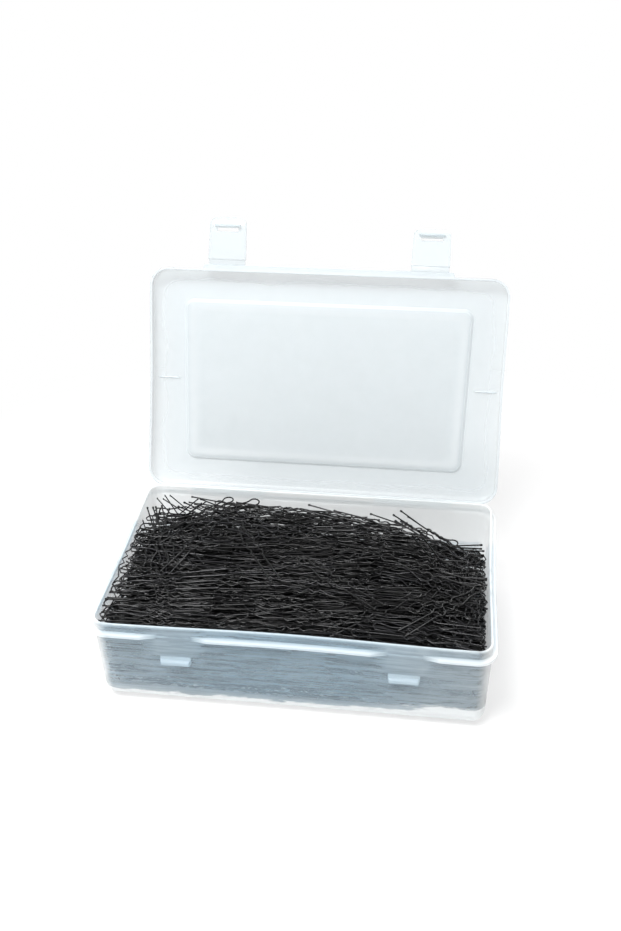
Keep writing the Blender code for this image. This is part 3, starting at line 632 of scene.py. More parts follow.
def rib_solid(name, t, lid, hinge, sign):
    """Rounded rib in the lid: half an ellipse across, carried along X, tapered by sqrt(1 - |p|^6)."""
    mid = sign * (t.width / 2 + t.ledge_out + lid.recess_width / 2) / 2
    face = t.height - t.ledge_drop + hinge.gap + lid.height - lid.wall
    angle = np.linspace(0.0, math.pi, 9)
    y, z = 0.45 * MM * np.cos(angle), -0.55 * MM * np.sin(angle)
    rings = []
    for place in np.linspace(-1.0, 1.0, 11):
        size = math.sqrt(max(1 - abs(place) ** 6, 0.02))
        x = np.full(len(angle), mid + place * lid.rib_length / 2)
        rings.append(np.column_stack([x, y * size, face - 0.02 * MM + z * size]))
    return shell(name, [open_lid(r, t, hinge) for r in rings], 0.8)


def label_sheet(t, lid, hinge):
    """Sheet with a thickness in the recess, in a shallow wave of 0.05 mm: sin(x / 19 mm) * cos(y / 13 mm)."""
    even = np.linspace(-0.5, 0.5, 42)[1:-1]
    face = t.height - t.ledge_drop + hinge.gap + lid.height - lid.recess_drop + hinge.gap
    scales = (0.3, 0.6, 0.85, 1.0)
    rings = []
    for scale, up in [(s, 0.0) for s in scales] + [(s, 1.0) for s in scales[::-1]]:
        points = recess_outline(lid, -lid.label_margin, (even,) * 4) * scale
        wave = 0.05 * MM * np.sin(points[:, 0] / (19 * MM)) * np.cos(points[:, 1] / (13 * MM))
        rings.append(at_height(points, face + wave + up * lid.label_thick))
    return shell("label_sheet", [open_lid(r, t, hinge) for r in rings], 0.0)


# Hinge straps, latches and their webs


def bezier_strip(name, ends, reach, width, thick, x, depth=0.2):
    """Thin strip along a cubic Bezier curve in Y and Z, which leaves one end and heads for the other.

    Its section is a rounded rectangle, width by thick, set across the curve.
    """
    (start, start_way), (end, end_way) = ends
    curve = np.array([start, start + reach * start_way, end - reach * end_way, end])
    s = np.linspace(0.0, 1.0, 17)[:, None]
    mix = np.hstack([(1 - s) ** 3, 3 * s * (1 - s) ** 2, 3 * s**2 * (1 - s), s**3])
    slope = np.hstack([3 * (1 - s) ** 2, 6 * s * (1 - s), 3 * s**2])
    line, way = mix @ curve, slope @ np.diff(curve, axis=0)
    normal = np.stack([-way[:, 1], way[:, 0]], 1) / np.linalg.norm(way, axis=1)[:, None]
    angle = np.linspace(0.0, 2 * math.pi, 12, endpoint=False) + math.pi / 12
    sideways = np.sign(np.cos(angle)) * (width / 2 - thick / 2) + thick / 2 * np.cos(angle)
    up = thick / 2 * np.sin(angle) * 1.15
    rings = [
        np.column_stack([x + sideways, p[0] + up * n[0], p[1] + up * n[1]])
        for p, n in zip(line, normal)
    ]
    return shell(name, rings, depth)


def hinge_strap(name, t, hinge, sign):
    """Living hinge from the tray's shelf to the open lid's skirt, and where it leaves and where it ends."""
    angle = math.radians(JOINTS["lid_hinge"]["range_deg"][0])
    back, top = t.depth / 2 + t.ledge_out, t.height - t.ledge_drop
    shelf = np.array([back - 0.1 * MM, top - hinge.shelf_drop - hinge.shelf / 2])
    skirt = turned((0.0, -hinge.out - 0.05 * MM, 0.9 * MM), 0.0, 0.0, angle)[1:] + hinge_line(t, hinge)
    way = turned((0.0, -1.0, 0.0), 0.0, 0.0, angle)[1:]
    ends = ((shelf, np.array([1.0, 0.0])), (skirt, way))
    x = sign * hinge.spacing / 2
    return bezier_strip(name, ends, 1.5 * hinge.out, hinge.width, hinge.thick, x), shelf, skirt


def shelf_slab(name, t, hinge, sign):
    """Thin shelf behind the tray's wall that carries a strap: a slab with rounded edges, carried along X."""
    high = t.height - t.ledge_drop - hinge.shelf_drop
    low = t.height - t.ledge_drop - hinge.shelf_drop - hinge.shelf
    near, far = t.depth / 2 - 0.15 * MM, t.depth / 2 + t.ledge_out
    soft = 0.25 * MM
    angle = np.linspace(0.0, 2 * math.pi, 16, endpoint=False) + math.pi / 16
    cos, sin = np.cos(angle), np.sin(angle)
    y = (near + far) / 2 + (np.sign(cos) * ((far - near) / 2 - soft) + soft * cos)
    z = (low + high) / 2 + (np.sign(sin) * ((high - low) / 2 - soft) + soft * sin)
    rings = []
    for place in (-1.0, -0.99, -0.5, 0.0, 0.5, 0.99, 1.0):
        x = np.full(len(angle), sign * hinge.spacing / 2 + place * hinge.width / 2)
        rings.append(np.column_stack([x, y, z]))
    return shell(name, rings, 0.3)


def latch_axis(t, lid, latch, hinge):
    """Y and Z of the latches' axis on the shut lid."""
    y = -(t.depth / 2 + t.ledge_out + lid.bar_out + latch.web / 2)
    return y, t.height - t.ledge_drop + hinge.gap + latch.web / 3


def latch_lean(side):
    """How far a latch leans back of the lid's plane, as photographed. Its joint goes to 60 degrees back."""
    return math.radians(60.0 - JOINTS[f"{side}_latch_hinge"]["range_deg"][1])


def place_latch(points, t, lid, latch, hinge, side):
    """Takes a latch drawn hanging from the origin to its axis on the open lid, leaning as photographed."""
    points = turned(points, 0.0, 0.0, -math.pi / 2 - latch_lean(side))
    points = points + (SIDES[side] * latch.spacing / 2, *latch_axis(t, lid, latch, hinge))
    return open_lid(points, t, hinge)


def latch_grip(t, lid, latch, hinge):
    """Distance from the latch's axis to its hook, worked out from the catch on the shut box."""
    axis_y, axis_z = latch_axis(t, lid, latch, hinge)
    low = t.height - t.catch_drop
    reach = -(axis_y + latch.thick) - float(wall_front(t, latch.spacing / 2, low)) - t.catch_out - latch.clear
    lean = math.asin(reach / (axis_z - low))
    return (axis_z - low + hinge.gap + latch.thick * math.sin(lean)) / math.cos(lean)


def latch_half(latch, s):
    """Half the latch's width at distance s from its axis: a straight taper, and round corners at the tip."""
    half = (latch.width + (latch.tip_width - latch.width) * s / latch.reach) / 2
    past = np.clip(s - (latch.reach - latch.tip_radius), 0.0, latch.tip_radius)
    return half - latch.tip_radius + np.sqrt(np.maximum(latch.tip_radius**2 - past**2, 0.0))


def latch_plate(name, t, lid, latch, hinge, side):
    """A latch: a sheet over (s, w), s along it and w across from -1 to 1, less its slot, with two faces.

    x = w * half width(s), y = -bend * (past the lip's start / lip)^2, z = -s. The back lies one
    thickness behind, and strips join both round the outer edge and the slot. The plastic is deeper at the
    edges and on the lip.
    """
    slot_high = latch_grip(t, lid, latch, hinge) - hinge.gap
    slot_low = slot_high - latch.slot_height
    slot_mid = (slot_low + slot_high) / 2
    round_start = latch.reach - latch.tip_radius
    s = np.unique(np.concatenate([
        [latch.web, latch.web + 0.25 * MM],
        np.linspace(latch.web + 2 * MM, slot_low - 1 * MM, 8),
        [slot_low - 0.2 * MM, slot_low, slot_low + 0.25 * MM, slot_mid],
        [slot_high - 0.25 * MM, slot_high, slot_high + 0.2 * MM],
        np.linspace(slot_high + 0.8 * MM, round_start, 6)[:-1],
        round_start + latch.tip_radius * np.sin(np.linspace(0.0, math.radians(84), 10)),
    ]))
    half_slot = latch.slot_width / 2
    w_slot = half_slot / float(latch_half(latch, slot_low))
    w = np.concatenate([
        [-1.0, -0.97],
        np.linspace(-0.9, -w_slot - 0.06, 4),
        [-w_slot - 0.02, -w_slot, -w_slot + 0.03],
        np.linspace(-w_slot + 0.12, w_slot - 0.12, 7),
        [w_slot - 0.03, w_slot, w_slot + 0.02],
        np.linspace(w_slot + 0.06, 0.9, 4),
        [0.97, 1.0],
    ])
    along, across = np.meshgrid(s, w, indexing="ij")
    near_slot = (np.abs(across) <= w_slot * 1.001) & (np.abs(along - slot_mid) < 3 * MM)
    x = np.where(near_slot, across / w_slot * half_slot, across * latch_half(latch, along))
    bend = np.clip((along - (latch.reach - latch.lip)) / latch.lip, 0.0, 1.0)
    inside = np.clip((1 - np.abs(across)) / 0.03, 0.0, 1.0)
    inside = inside * np.clip((along - latch.web) / (0.25 * MM), 0.0, 1.0)
    inside = inside * np.clip((latch.reach - along) / (0.05 * latch.tip_radius), 0.0, 1.0)
    soft = 0.22 * MM * (1 - np.sqrt(np.clip(1 - (1 - inside) ** 2, 0.0, 1.0)))
    front_y = -latch.lip_bend * bend**2 + soft
    back_y = -latch.lip_bend * bend**2 + latch.thick - soft
    points = np.concatenate([np.stack([x, y, -along], -1).reshape(-1, 3) for y in (front_y, back_y)])
    count = along.size
    index = np.arange(count).reshape(along.shape)
    cell_s, cell_w = (s[1:] + s[:-1]) / 2, (w[1:] + w[:-1]) / 2
    hole = ((cell_s > slot_low) & (cell_s < slot_high))[:, None] & (np.abs(cell_w) < w_slot)[None]
    quads = np.stack([index[:-1, :-1], index[1:, :-1], index[1:, 1:], index[:-1, 1:]], -1)[~hole]
    sides = np.concatenate([np.stack([quads[:, i], quads[:, (i + 1) % 4]], 1) for i in range(4)])
    lone = ~np.isin(sides[:, 0] * count + sides[:, 1], sides[:, 1] * count + sides[:, 0])
    start, end = sides[lone].T
    walls = np.stack([end, start, start + count, end + count], 1)
    points = place_latch(points, t, lid, latch, hinge, side)
    quads = np.concatenate([quads, quads[:, ::-1] + count, walls])
    mesh = mesh_from(name, points, quads, np.empty((0, 3), int))
    depth = 0.05 + 0.35 * (1 - inside.ravel()) + 0.15 * bend.ravel()
    give(mesh, "depth", np.clip(np.tile(depth, 2), 0.0, 1.0))
    return mesh


def latch_hook(name, t, lid, latch, hinge, side):
    """Hook behind the plate: a wedge with blunted edges carried along X, drawn in at both ends."""
    top = -latch_grip(t, lid, latch, hinge)
    face, tip = latch.thick + 0.02 * MM, latch.thick + latch.clear + latch.grip
    blunt = 0.2 * MM
    middle = top - latch.hook_thick / 2
    profile = np.array([
        (face, top),
        (tip - blunt, top),
        (tip, top - blunt),
        (tip, middle),
        (tip - blunt, middle - blunt),
        (face, top - latch.hook_thick),
    ])
    rings = []
    for place, size in ((-1.0, 0.8), (-0.97, 1.0), (0.0, 1.0), (0.97, 1.0), (1.0, 0.8)):
        x = np.full(len(profile), place * latch.hook_width / 2)
        rings.append(np.column_stack([x, profile * size + profile.mean(0) * (1 - size)]))
    return shell(name, [place_latch(r, t, lid, latch, hinge, side) for r in rings], 0.15)


def latch_web(name, t, lid, latch, hinge, side):
    """Living hinge from the bar's face to the latch's root, bent as the latch leans, and both its ends."""
    axis_y, axis_z = latch_axis(t, lid, latch, hinge)
    lean = latch_lean(side)
    strip = np.array([axis_y + latch.web / 2 + 0.05 * MM, axis_z - latch.thick / 2 + hinge.gap])
    root = turned((0.0, -latch.web - 0.05 * MM, -latch.thick / 2), 0.0, 0.0, -lean)[1:] + (axis_y, axis_z)
    way = turned((0.0, -1.0, 0.0), 0.0, 0.0, -lean)[1:]
    opened = []
    for point, heading in ((strip, np.array([-1.0, 0.0])), (root, way)):
        here = open_lid((0.0, *point), t, hinge)[1:]
        opened.append((here, open_lid((0.0, *(point + heading)), t, hinge)[1:] - here))
    x = SIDES[side] * latch.spacing / 2
    width = latch.width - 2 * hinge.gap
    mesh = bezier_strip(name, opened, latch.web / 3, width, latch.web_thick, x, 0.1)
    return mesh, opened[0][0], opened[1][0]


# Hairpins


def pin_routes(p, spread, sway, fine=False):
    """Each pin's wire in its own plane, tip to tip: shape (pins, points, 2), and its thickness at each point.

    A leg leaves the round head at 0, narrows at the neck, swings in three waves of sway * (-1)^i about half
    the spread, and ends straight in a thicker tip. The other leg mirrors it. The head lies towards -X.
    """
    if fine:
        turns = np.radians([90.0, 62.0, 35.0, 5.0, -25.0, -45.0])
        neck = np.array([(1.2, 1.05), (1.9, 1.1)])
        phase = (np.arange(12) + 0.5) * 0.5
        swing = np.sin(math.pi * phase)
        tip = np.array([(2.2, 1.0), (1.2, p.tip), (0.3, p.tip), (0.0, 0.6)])
    else:
        turns = np.radians([90.0, 30.0, -32.0])
        neck = np.array([(1.5, 1.0)])
        phase = np.arange(6) + 0.5
        swing = np.array([1.0, -1.0] * 3)
        tip = np.array([(1.6, 1.0), (0.0, p.tip)])
    waves = p.wave_start + phase * p.wave_pitch / 2
    head = len(turns) + len(neck)
    round_head = p.head / 2 * (1 - np.sin(turns))
    x = np.concatenate([round_head, p.head * neck[:, 0], waves, p.reach - p.wire * tip[:, 0]])
    bent = np.concatenate([p.head / 2 * np.cos(turns), p.neck / 2 * neck[:, 1], np.zeros(len(x) - head)])
    on_leg = (np.arange(len(x)) >= head).astype(float)
    wavy = np.concatenate([np.zeros(head), swing, np.zeros(len(tip))])
    side = bent[None] + on_leg[None] * (spread[:, None] / 2) + wavy[None] * sway[:, None]
    thick = np.concatenate([np.ones(len(x) - len(tip)), tip[:, 1]])
    x = np.broadcast_to(x, side.shape)
    leg = np.stack([x, side], -1)
    other = np.stack([x, -side], -1)[:, :0:-1]
    route = np.concatenate([other, leg], 1) - np.array([p.reach / 2, 0.0])
    return route, np.concatenate([thick[:0:-1], thick])


def pin_tubes(name, p, laid, spread, sway, fine=False):
    """Mesh of many pins: a ring of a few points is carried along each wire, and capped at both tips.

    A ring stands across the wire: r * (cos(a) * (normal x tangent) + sin(a) * normal). All pins are worked
    out at once, each from its row in laid: middle in X, Y and Z, heading, slope and roll.
    """
    sides = 6 if fine else 3
    route, thick = pin_routes(p, spread, sway, fine)
    ahead = np.gradient(route, axis=1)
    ahead /= np.linalg.norm(ahead, axis=2, keepdims=True)
    across = np.stack([-ahead[..., 1], ahead[..., 0]], -1)
    angle = 2 * math.pi * np.arange(sides) / sides + math.pi / 2
    radius = thick[None, :, None] * p.wire / 2
    level = route[:, :, None] + (radius * np.cos(angle))[..., None] * across[:, :, None]
    up = np.broadcast_to(radius * np.sin(angle), level.shape[:3])
    local = np.concatenate([level, up[..., None]], -1)
    points = np.einsum("pnsc,pcd->pnsd", local, pin_axes(laid[:, 3], laid[:, 4], laid[:, 5]))
    points = points + laid[:, None, None, :3]
    pins, rows = points.shape[:2]
    step = (np.arange(pins) * rows * sides)[:, None, None]
    quads = (ring_faces(rows, sides)[None] + step).reshape(-1, 4)
    fan = np.array([(0, i, i + 1) for i in range(1, sides - 1)])
    first, last = np.arange(sides)[::-1], np.arange(sides) + (rows - 1) * sides
    caps = (np.concatenate([first[fan], last[fan]])[None] + step).reshape(-1, 3)
    mesh = mesh_from(name, points.reshape(-1, 3), quads, caps)
    give(mesh, "ball", np.broadcast_to((thick > 1.05)[None, :, None], points.shape[:3]))
    # One random number for each pin: the lacquer paints a few lighter, as painted sheen.
    shade = np.random.default_rng(7).random(pins)
    give(mesh, "shade", np.broadcast_to(shade[:, None, None], points.shape[:3]))
    return mesh


def heap_goal(t, p, x, y):
    """Height the heap's top should have.

    It is level in front of a crest, and falls behind it by fall * (1 - exp(-(past / reach)^2)). The crest
    lies near the back wall left of the middle, and bends forward as a square towards both ends, more on the
    right.
    """
    crest_x, crest_y = -0.36 * t.width / 2, 0.67 * t.depth / 2
    bend_left, bend_right = 26 * MM, 34 * MM
    left, right = t.width / 2 + crest_x, t.width / 2 - crest_x
    share = (x - crest_x) / np.where(x < crest_x, left, right)
    bend = np.where(x < crest_x, bend_left, bend_right) * share**2
    past = np.maximum(y - crest_y + bend, 0.0)
    return t.height - p.crest_drop - p.crest_fall * (1 - np.exp(-((past / p.crest_reach) ** 2)))


def tray_bed(t, x, y):
    """Height of the tray's inside: flat, a quarter round of radius edge - wall, and a steep leaning wall."""
    radius = t.edge - t.wall
    clear = 0.3 * MM
    inside = np.minimum(t.width / 2 - np.abs(x), t.depth / 2 - np.abs(y)) - t.wall - t.draft - clear
    foot = np.clip(radius - inside, 0.0, radius)
    rounded = t.floor + radius - np.sqrt(np.maximum(radius**2 - foot**2, 0.0))
    steep = t.floor + radius + (-inside) * t.height / t.draft
    return np.where(inside < 0, np.maximum(steep, rounded), rounded)


class Heap:
    """Height map of the heap as pins are laid on it, one cell for each half millimetre."""

    cell = 0.5 * MM
    # How far the high spots under a pin count against the mean of their part of it
    stiff = 0.75
    # Parts along a pin, and the most that it rolls, how far its legs are apart and half of that
    parts = 20
    most_fall, legs, half_legs = 1.4 * MM, 5e-3, 2.4 * MM

    def __init__(self, t, p):
        self.half = (t.width / 2, t.depth / 2)
        x, y = (np.arange(-half, half + self.cell, self.cell) for half in self.half)
        self.top = tray_bed(t, x[:, None], y[None])
        self.goal = heap_goal(t, p, x[:, None], y[None])
        self.wire, self.reach = p.wire, p.reach
        route, _ = pin_routes(p, np.array([p.spread]), np.array([p.wave_depth]))
        self.path = self.sampled(route[0], 1.0 * MM)
        part = ((self.path[:, 0] / p.reach + 0.5) * self.parts).astype(int)
        self.part = np.clip(part, 0, self.parts - 1)

    @staticmethod
    def sampled(route, step):
        """Points along a line, a step apart."""
        gone = np.concatenate([[0.0], np.cumsum(np.linalg.norm(np.diff(route, axis=0), axis=1))])
        at = np.arange(0.0, gone[-1], step)
        return np.stack([np.interp(at, gone, route[:, 0]), np.interp(at, gone, route[:, 1])], 1)

    def index(self, x, y):
        """The map's cells at places seen from above."""
        i = np.clip(np.rint((x + self.half[0]) / self.cell).astype(int), 0, self.top.shape[0] - 1)
        j = np.clip(np.rint((y + self.half[1]) / self.cell).astype(int), 0, self.top.shape[1] - 1)
        return i, j

    def plan(self, x, y, yaw):
        """The pins' paths seen from above, for arrays of places and headings."""
        cos, sin = np.cos(yaw)[:, None], np.sin(yaw)[:, None]
        s, w = self.path[:, 0][None], self.path[:, 1][None]
        return x[:, None] + s * cos - w * sin, y[:, None] + s * sin + w * cos

    def under(self, x, y, yaw):
        """The map's cells under one pin."""
        px, py = self.plan(np.array([x]), np.array([y]), np.array([yaw]))
        return self.index(px[0], py[0])

    def rest(self, x, y, yaw):
        """How a pin comes to rest at a place and heading: its middle's height and its slopes both ways.

        The line under it touches the highest points before and behind its middle: among all such pairs it is
        the one that is highest at the middle. Then the pin rolls about the leg that touches until the other
        rests.
        """
        parts, half = self.parts, self.parts // 2
        under = self.top[self.under(x, y, yaw)]
        s = (np.arange(parts) + 0.5) / parts * self.reach - self.reach / 2
        most = np.full(parts, -1.0)
        np.maximum.at(most, self.part, under)
        mean = np.bincount(self.part, under, parts) / np.bincount(self.part, minlength=parts)
        most = mean + self.stiff * (most - mean)
        a, b = most[:half, None], most[None, half:]
        sa, sb = s[:half, None], s[None, half:]
        middle = (a * sb - b * sa) / (sb - sa)
        best = np.unravel_index(np.argmax(middle), middle.shape)
        slope = (b[0, best[1]] - a[best[0], 0]) / (sb[0, best[1]] - sa[best[0], 0])
        height = middle[best]
        spare = height + slope * self.path[:, 0] - under
        sides = self.path[:, 1]
        near, far = spare[sides > 0].min(), spare[sides < 0].min()
        fall = min(max(near, far), self.most_fall)
        touching = -1.0 if near > far else 1.0
        roll = touching * 0.8 * fall / self.legs
        height -= abs(roll) * self.half_legs
        return height + self.wire / 2, slope, roll

    def lay(self, x, y, yaw, height, slope, roll):
        """Raises the map under a pin, and a little less in the cells beside it."""
        z = height + slope * self.path[:, 0] + roll * self.path[:, 1] + self.wire / 2
        i, j = self.under(x, y, yaw)
        for di, dj in ((0, 0), (1, 0), (-1, 0), (0, 1), (0, -1)):
            a = np.clip(i + di, 0, self.top.shape[0] - 1)
            b = np.clip(j + dj, 0, self.top.shape[1] - 1)
            np.maximum.at(self.top, (a, b), z if di == dj == 0 else z - 0.1 * self.wire)


def pin_axes(yaw, slope, roll):
    """Axes of pins from their headings and slopes: along, across and up, as rows."""
    along = np.stack([np.cos(yaw), np.sin(yaw), slope], -1)
    along /= np.linalg.norm(along, axis=-1, keepdims=True)
    across = np.stack([-np.sin(yaw), np.cos(yaw), roll], -1)
    across -= along * np.sum(along * across, -1, keepdims=True)
    across /= np.linalg.norm(across, axis=-1, keepdims=True)
    return np.stack([along, across, np.cross(along, across)], -2)


def pin_room(t, p, yaw, level):
    """How far a pin's middle may be from the tray's middle, in X and Y, at a level of the heap."""
    radius = t.edge - t.wall
    foot = np.clip(radius - (level - t.floor), 0.0, radius)
    draft = t.draft * (1 - np.clip(level / t.height, 0.0, 1.0))
    lean = draft + radius - np.sqrt(np.maximum(radius**2 - foot**2, 0.0))
    cos, sin = np.abs(np.cos(yaw)), np.abs(np.sin(yaw))
    reach_x = p.reach / 2 * cos + p.head / 2 * sin + p.wire
    reach_y = p.reach / 2 * sin + p.head / 2 * cos + p.wire
    room_x = t.width / 2 - t.wall - lean - t.side_bow - reach_x
    room_y = t.depth / 2 - t.wall - lean - t.front_bow - reach_y
    return np.maximum(room_x, 1 * MM), np.maximum(room_y, 1 * MM)


def fill_tray(t, p, ceiling):
    """Lays pins one by one where the heap lacks most, out of a few tries each, until it has its goal's shape.

    Most lie along X with a scatter of some degrees, and about one in eight crosses the others. Of the tries
    some lie in three columns, some at the ends, and some along the front and back walls. Heads point
    outwards more often. A pin that would stand over the goal or the ceiling, or too steeply, is a miss.
    """
    tries, most_misses, regained = 24, 500, 4
    crossing_share, column_share, end_share, wall_share = 0.12, 0.45, 0.3, 0.14
    plain_scatter, crossing_scatter, column_scatter = 0.13, 0.6, 0.2
    over_goal, steepest = 0.5 * MM, 0.45
    draw = np.random.default_rng(p.seed)
    heap = Heap(t, p)
    laid, misses = [], 0
    while len(laid) < p.amount and misses < most_misses:
        crossing = draw.random() < crossing_share
        yaw = draw.normal(0.0, crossing_scatter if crossing else plain_scatter, tries)
        u, v = draw.uniform(-1.0, 1.0, (2, tries))
        in_column = draw.random(tries) < column_share
        column = np.rint(u * 1.5) * 0.93 + draw.normal(0.0, column_scatter, tries)
        u = np.where(in_column, np.clip(column, -1.0, 1.0), u)
        at_end = draw.random(tries) < end_share
        u = np.where(at_end, np.sign(u) * draw.uniform(0.9, 0.99, tries), u)
        at_wall = draw.random(tries) < wall_share
        v = np.where(at_wall, np.sign(v) * draw.uniform(0.97, 1.0, tries), v)
        level = heap.top[heap.index(u * t.width * 0.33, v * t.depth * 0.42)]
        room_x, room_y = pin_room(t, p, yaw, level)
        x, y = u * room_x, v * room_y
        outwards = 0.5 + 0.25 * np.sign(x) * np.abs(u) ** 2
        yaw = yaw + np.where(draw.random(tries) < outwards, math.pi, 0.0)
        i, j = heap.index(*heap.plan(x, y, yaw))
        best = int(np.argmax((heap.goal[i, j] - heap.top[i, j]).mean(1)))
        at = (x[best], y[best], yaw[best])
        height, slope, roll = heap.rest(*at)
        high = height + abs(slope) * p.reach / 2 + abs(roll) * p.head / 2 + p.wire
        goal = heap.goal[heap.index(*at[:2])]
        if height > goal + over_goal or high > ceiling or abs(slope) > steepest:
            misses += 1
            continue
        misses = max(0, misses - regained)
        heap.lay(*at, height, slope, roll)
        laid.append((*at[:2], height, at[2], slope, roll))
    return heap, np.array(laid)


def lay_strays(t, p, heap, ceiling):
    """Lays the listed pins on the heap, inside the tray and below the shut lid."""
    steepest = 0.3
    laid = []
    for x, y, yaw in strays() * (MM, MM, math.pi / 180):
        room_x, room_y = pin_room(t, p, yaw, t.height)
        x, y = float(np.clip(x, -room_x, room_x)), float(np.clip(y, -room_y, room_y))
        height, slope, roll = heap.rest(x, y, yaw)
        slope = float(np.clip(slope, -steepest, steepest))
        height = min(height, ceiling - abs(slope) * p.reach / 2 - abs(roll) * p.head / 2 - p.wire)
        heap.lay(x, y, yaw, height, slope, roll)
        laid.append((x, y, height, yaw, slope, roll))
    return np.array(laid)


def strays():
    """Pins listed one by one over the heap's crest and ends: middle in X and Y in mm, and heading in degrees.
    """
    return np.array([
        # Tips that stand out over the crest
        (58.0, 29.9, 133.0),
        (60.4, 28.7, 129.0),
        (57.7, 20.1, 139.0),
        (60.9, 20.3, 13.0),
        (60.0, 15.7, 10.0),
        (-38.5, 31.1, 155.0),
        (-51.2, 32.2, -151.0),
        (-46.8, 26.2, 152.0),
        (19.3, 34.1, 163.0),
        (33.0, 32.7, 165.0),
        (49.3, 29.0, 155.0),
        # Leaning on the left wall
        (-73.9, 11.2, 112.0),
        (-70.3, 11.1, 113.0),
        (-74.4, 8.0, 93.0),
        # Heads at the left end
        (-58.5, 26.1, -126.0),
        (-60.0, 6.6, -5.0),
        (-60.0, 1.3, -1.0),
        (-61.0, -26.5, 9.0),
        (-61.0, -38.0, 8.0),
        (-59.0, -18.8, 12.0),
        # Pins that cross the others
        (66.5, -29.1, -135.0),
        (60.0, -2.4, -20.0),
        (-55.1, 5.5, -110.0),
        (-24.4, 4.6, -58.0),
        (18.3, -15.7, -37.0),
        (36.3, -34.7, -142.0),
    ])


# Finishes

WHITE = (1.0, 1.0, 1.0)


class Nodes:
    """Short ways to add and join one tree's nodes. A value is a socket, a number, a vector or a colour."""

    def __init__(self, tree):
        self.nodes, self.links = tree.nodes, tree.links

    def feed(self, socket, value):
        """Joins a socket to another or sets it. A colour gets an alpha of 1."""
        if isinstance(value, bpy.types.NodeSocket):
            self.links.new(value, socket)
        else:
            socket.default_value = (*value, 1.0) if socket.type == "RGBA" else value

    def set(self, node, **inputs):
        """Feeds a node's inputs, each under its own name with _ for a space."""
        for name, value in inputs.items():
            self.feed(node.inputs[name.replace("_", " ")], value)
        return node

    def add(self, kind, **inputs):
        """New shader node with its inputs fed."""
        return self.set(self.nodes.new("ShaderNode" + kind), **inputs)

    def group(self, name, **inputs):
        """One of the node groups below, placed with its own values."""
        node = self.nodes.new("ShaderNodeGroup")
        node.node_tree = bpy.data.node_groups[name]
        return self.set(node, **inputs).outputs

    def math(self, operation, *values, clamp=True):
        """Math node over sockets or numbers. Sums are held between 0 and 1 unless clamp is off."""
        node = self.nodes.new("ShaderNodeMath")
        node.operation = operation
        node.use_clamp = clamp and operation in ("MULTIPLY_ADD", "ADD")
        for socket, value in zip(node.inputs, values):
            self.feed(socket, value)
        return node.outputs[0]

    def mix(self, share, first, second, colours=True):
        """The first colour or value where share is 0, the second where it is 1."""
        node = self.nodes.new("ShaderNodeMix")
        node.data_type = "RGBA" if colours else "FLOAT"
        sockets, out = ((0, 6, 7), 2) if colours else ((0, 2, 3), 0)
        for index, value in zip(sockets, (share, first, second)):
            self.feed(node.inputs[index], value)
        return node.outputs[out]

    def ramp(self, value, start, end, low=0.0, high=1.0):
        """Straight ramp of a value from low at start to high at end, held outside them."""
        node = self.add("MapRange", Value=value, From_Min=start, From_Max=end, To_Min=low, To_Max=high)
        return node.outputs[0]

    def noise(self, place, scale, detail, roughness=0.5):
        """Fractal noise between 0 and 1."""
        node = self.add("TexNoise", Vector=place, Scale=scale, Detail=detail, Roughness=roughness)
        return node.outputs["Fac"]

    def mapped(self, place, scale, **more):
        """A place stretched by a scale for each axis, and turned or moved by Rotation and Location."""
        return self.add("Mapping", Vector=place, Scale=scale, **more).outputs["Vector"]

    def attribute(self, name):
        """A number that the mesh carries at each point."""
        node = self.nodes.new("ShaderNodeAttribute")
        node.attribute_name = name
        return node.outputs["Fac"]

    def bump(self, body, height, strength, distance):
        """Fine relief on a shader's normal."""
        node = self.add("Bump", Height=height, Strength=strength, Distance=distance)
        self.feed(body.inputs["Normal"], node.outputs["Normal"])

    def mix_shaders(self, share, first, second, out):
        """Sends two shaders to an output: the first where share is 0, the second where it is 1."""
        node = self.nodes.new("ShaderNodeMixShader")
        for socket, value in zip(node.inputs, (share, first.outputs[0], second.outputs[0])):
            self.feed(socket, value)
        self.feed(out.inputs["Surface"], node.outputs[0])


def toned(colour_set, factor):
    """A colour made darker or lighter by a factor, and at most white."""
    return tuple(min(1.0, factor * channel) for channel in colour_set)


def new_group(name, inputs, outputs):
    """Empty shader node group: its short ways, and the sockets inside it that its inputs and outputs show."""
    clear_name(bpy.data.node_groups, name)
    group = bpy.data.node_groups.new(name, "ShaderNodeTree")
    for way, sockets in (("INPUT", inputs), ("OUTPUT", outputs)):
        for label, kind in sockets.items():
            group.interface.new_socket(label, in_out=way, socket_type=f"NodeSocket{kind}")
    start, end = group.nodes.new("NodeGroupInput"), group.nodes.new("NodeGroupOutput")
    return Nodes(group), start.outputs, end.inputs


def moulded_group():
    """Clouding of moulded plastic: Cloud is noise, and Height adds 0.4 of its drawn-out flow lines."""
    net, start, end = new_group(
        "moulded_clouding",
        {"Place": "Vector", "Cloud Size": "Float", "Line Size": "Float"},
        {"Cloud": "Float", "Height": "Float"},
    )
    cloud = net.noise(start["Place"], start["Cloud Size"], 3.0)
    lines = net.noise(net.mapped(start["Place"], (0.12, 0.5, 1.0)), start["Line Size"], 4.0, 0.6)
    net.feed(end["Cloud"], cloud)
    net.feed(end["Height"], net.math("MULTIPLY_ADD", lines, 0.4, cloud, clamp=False))


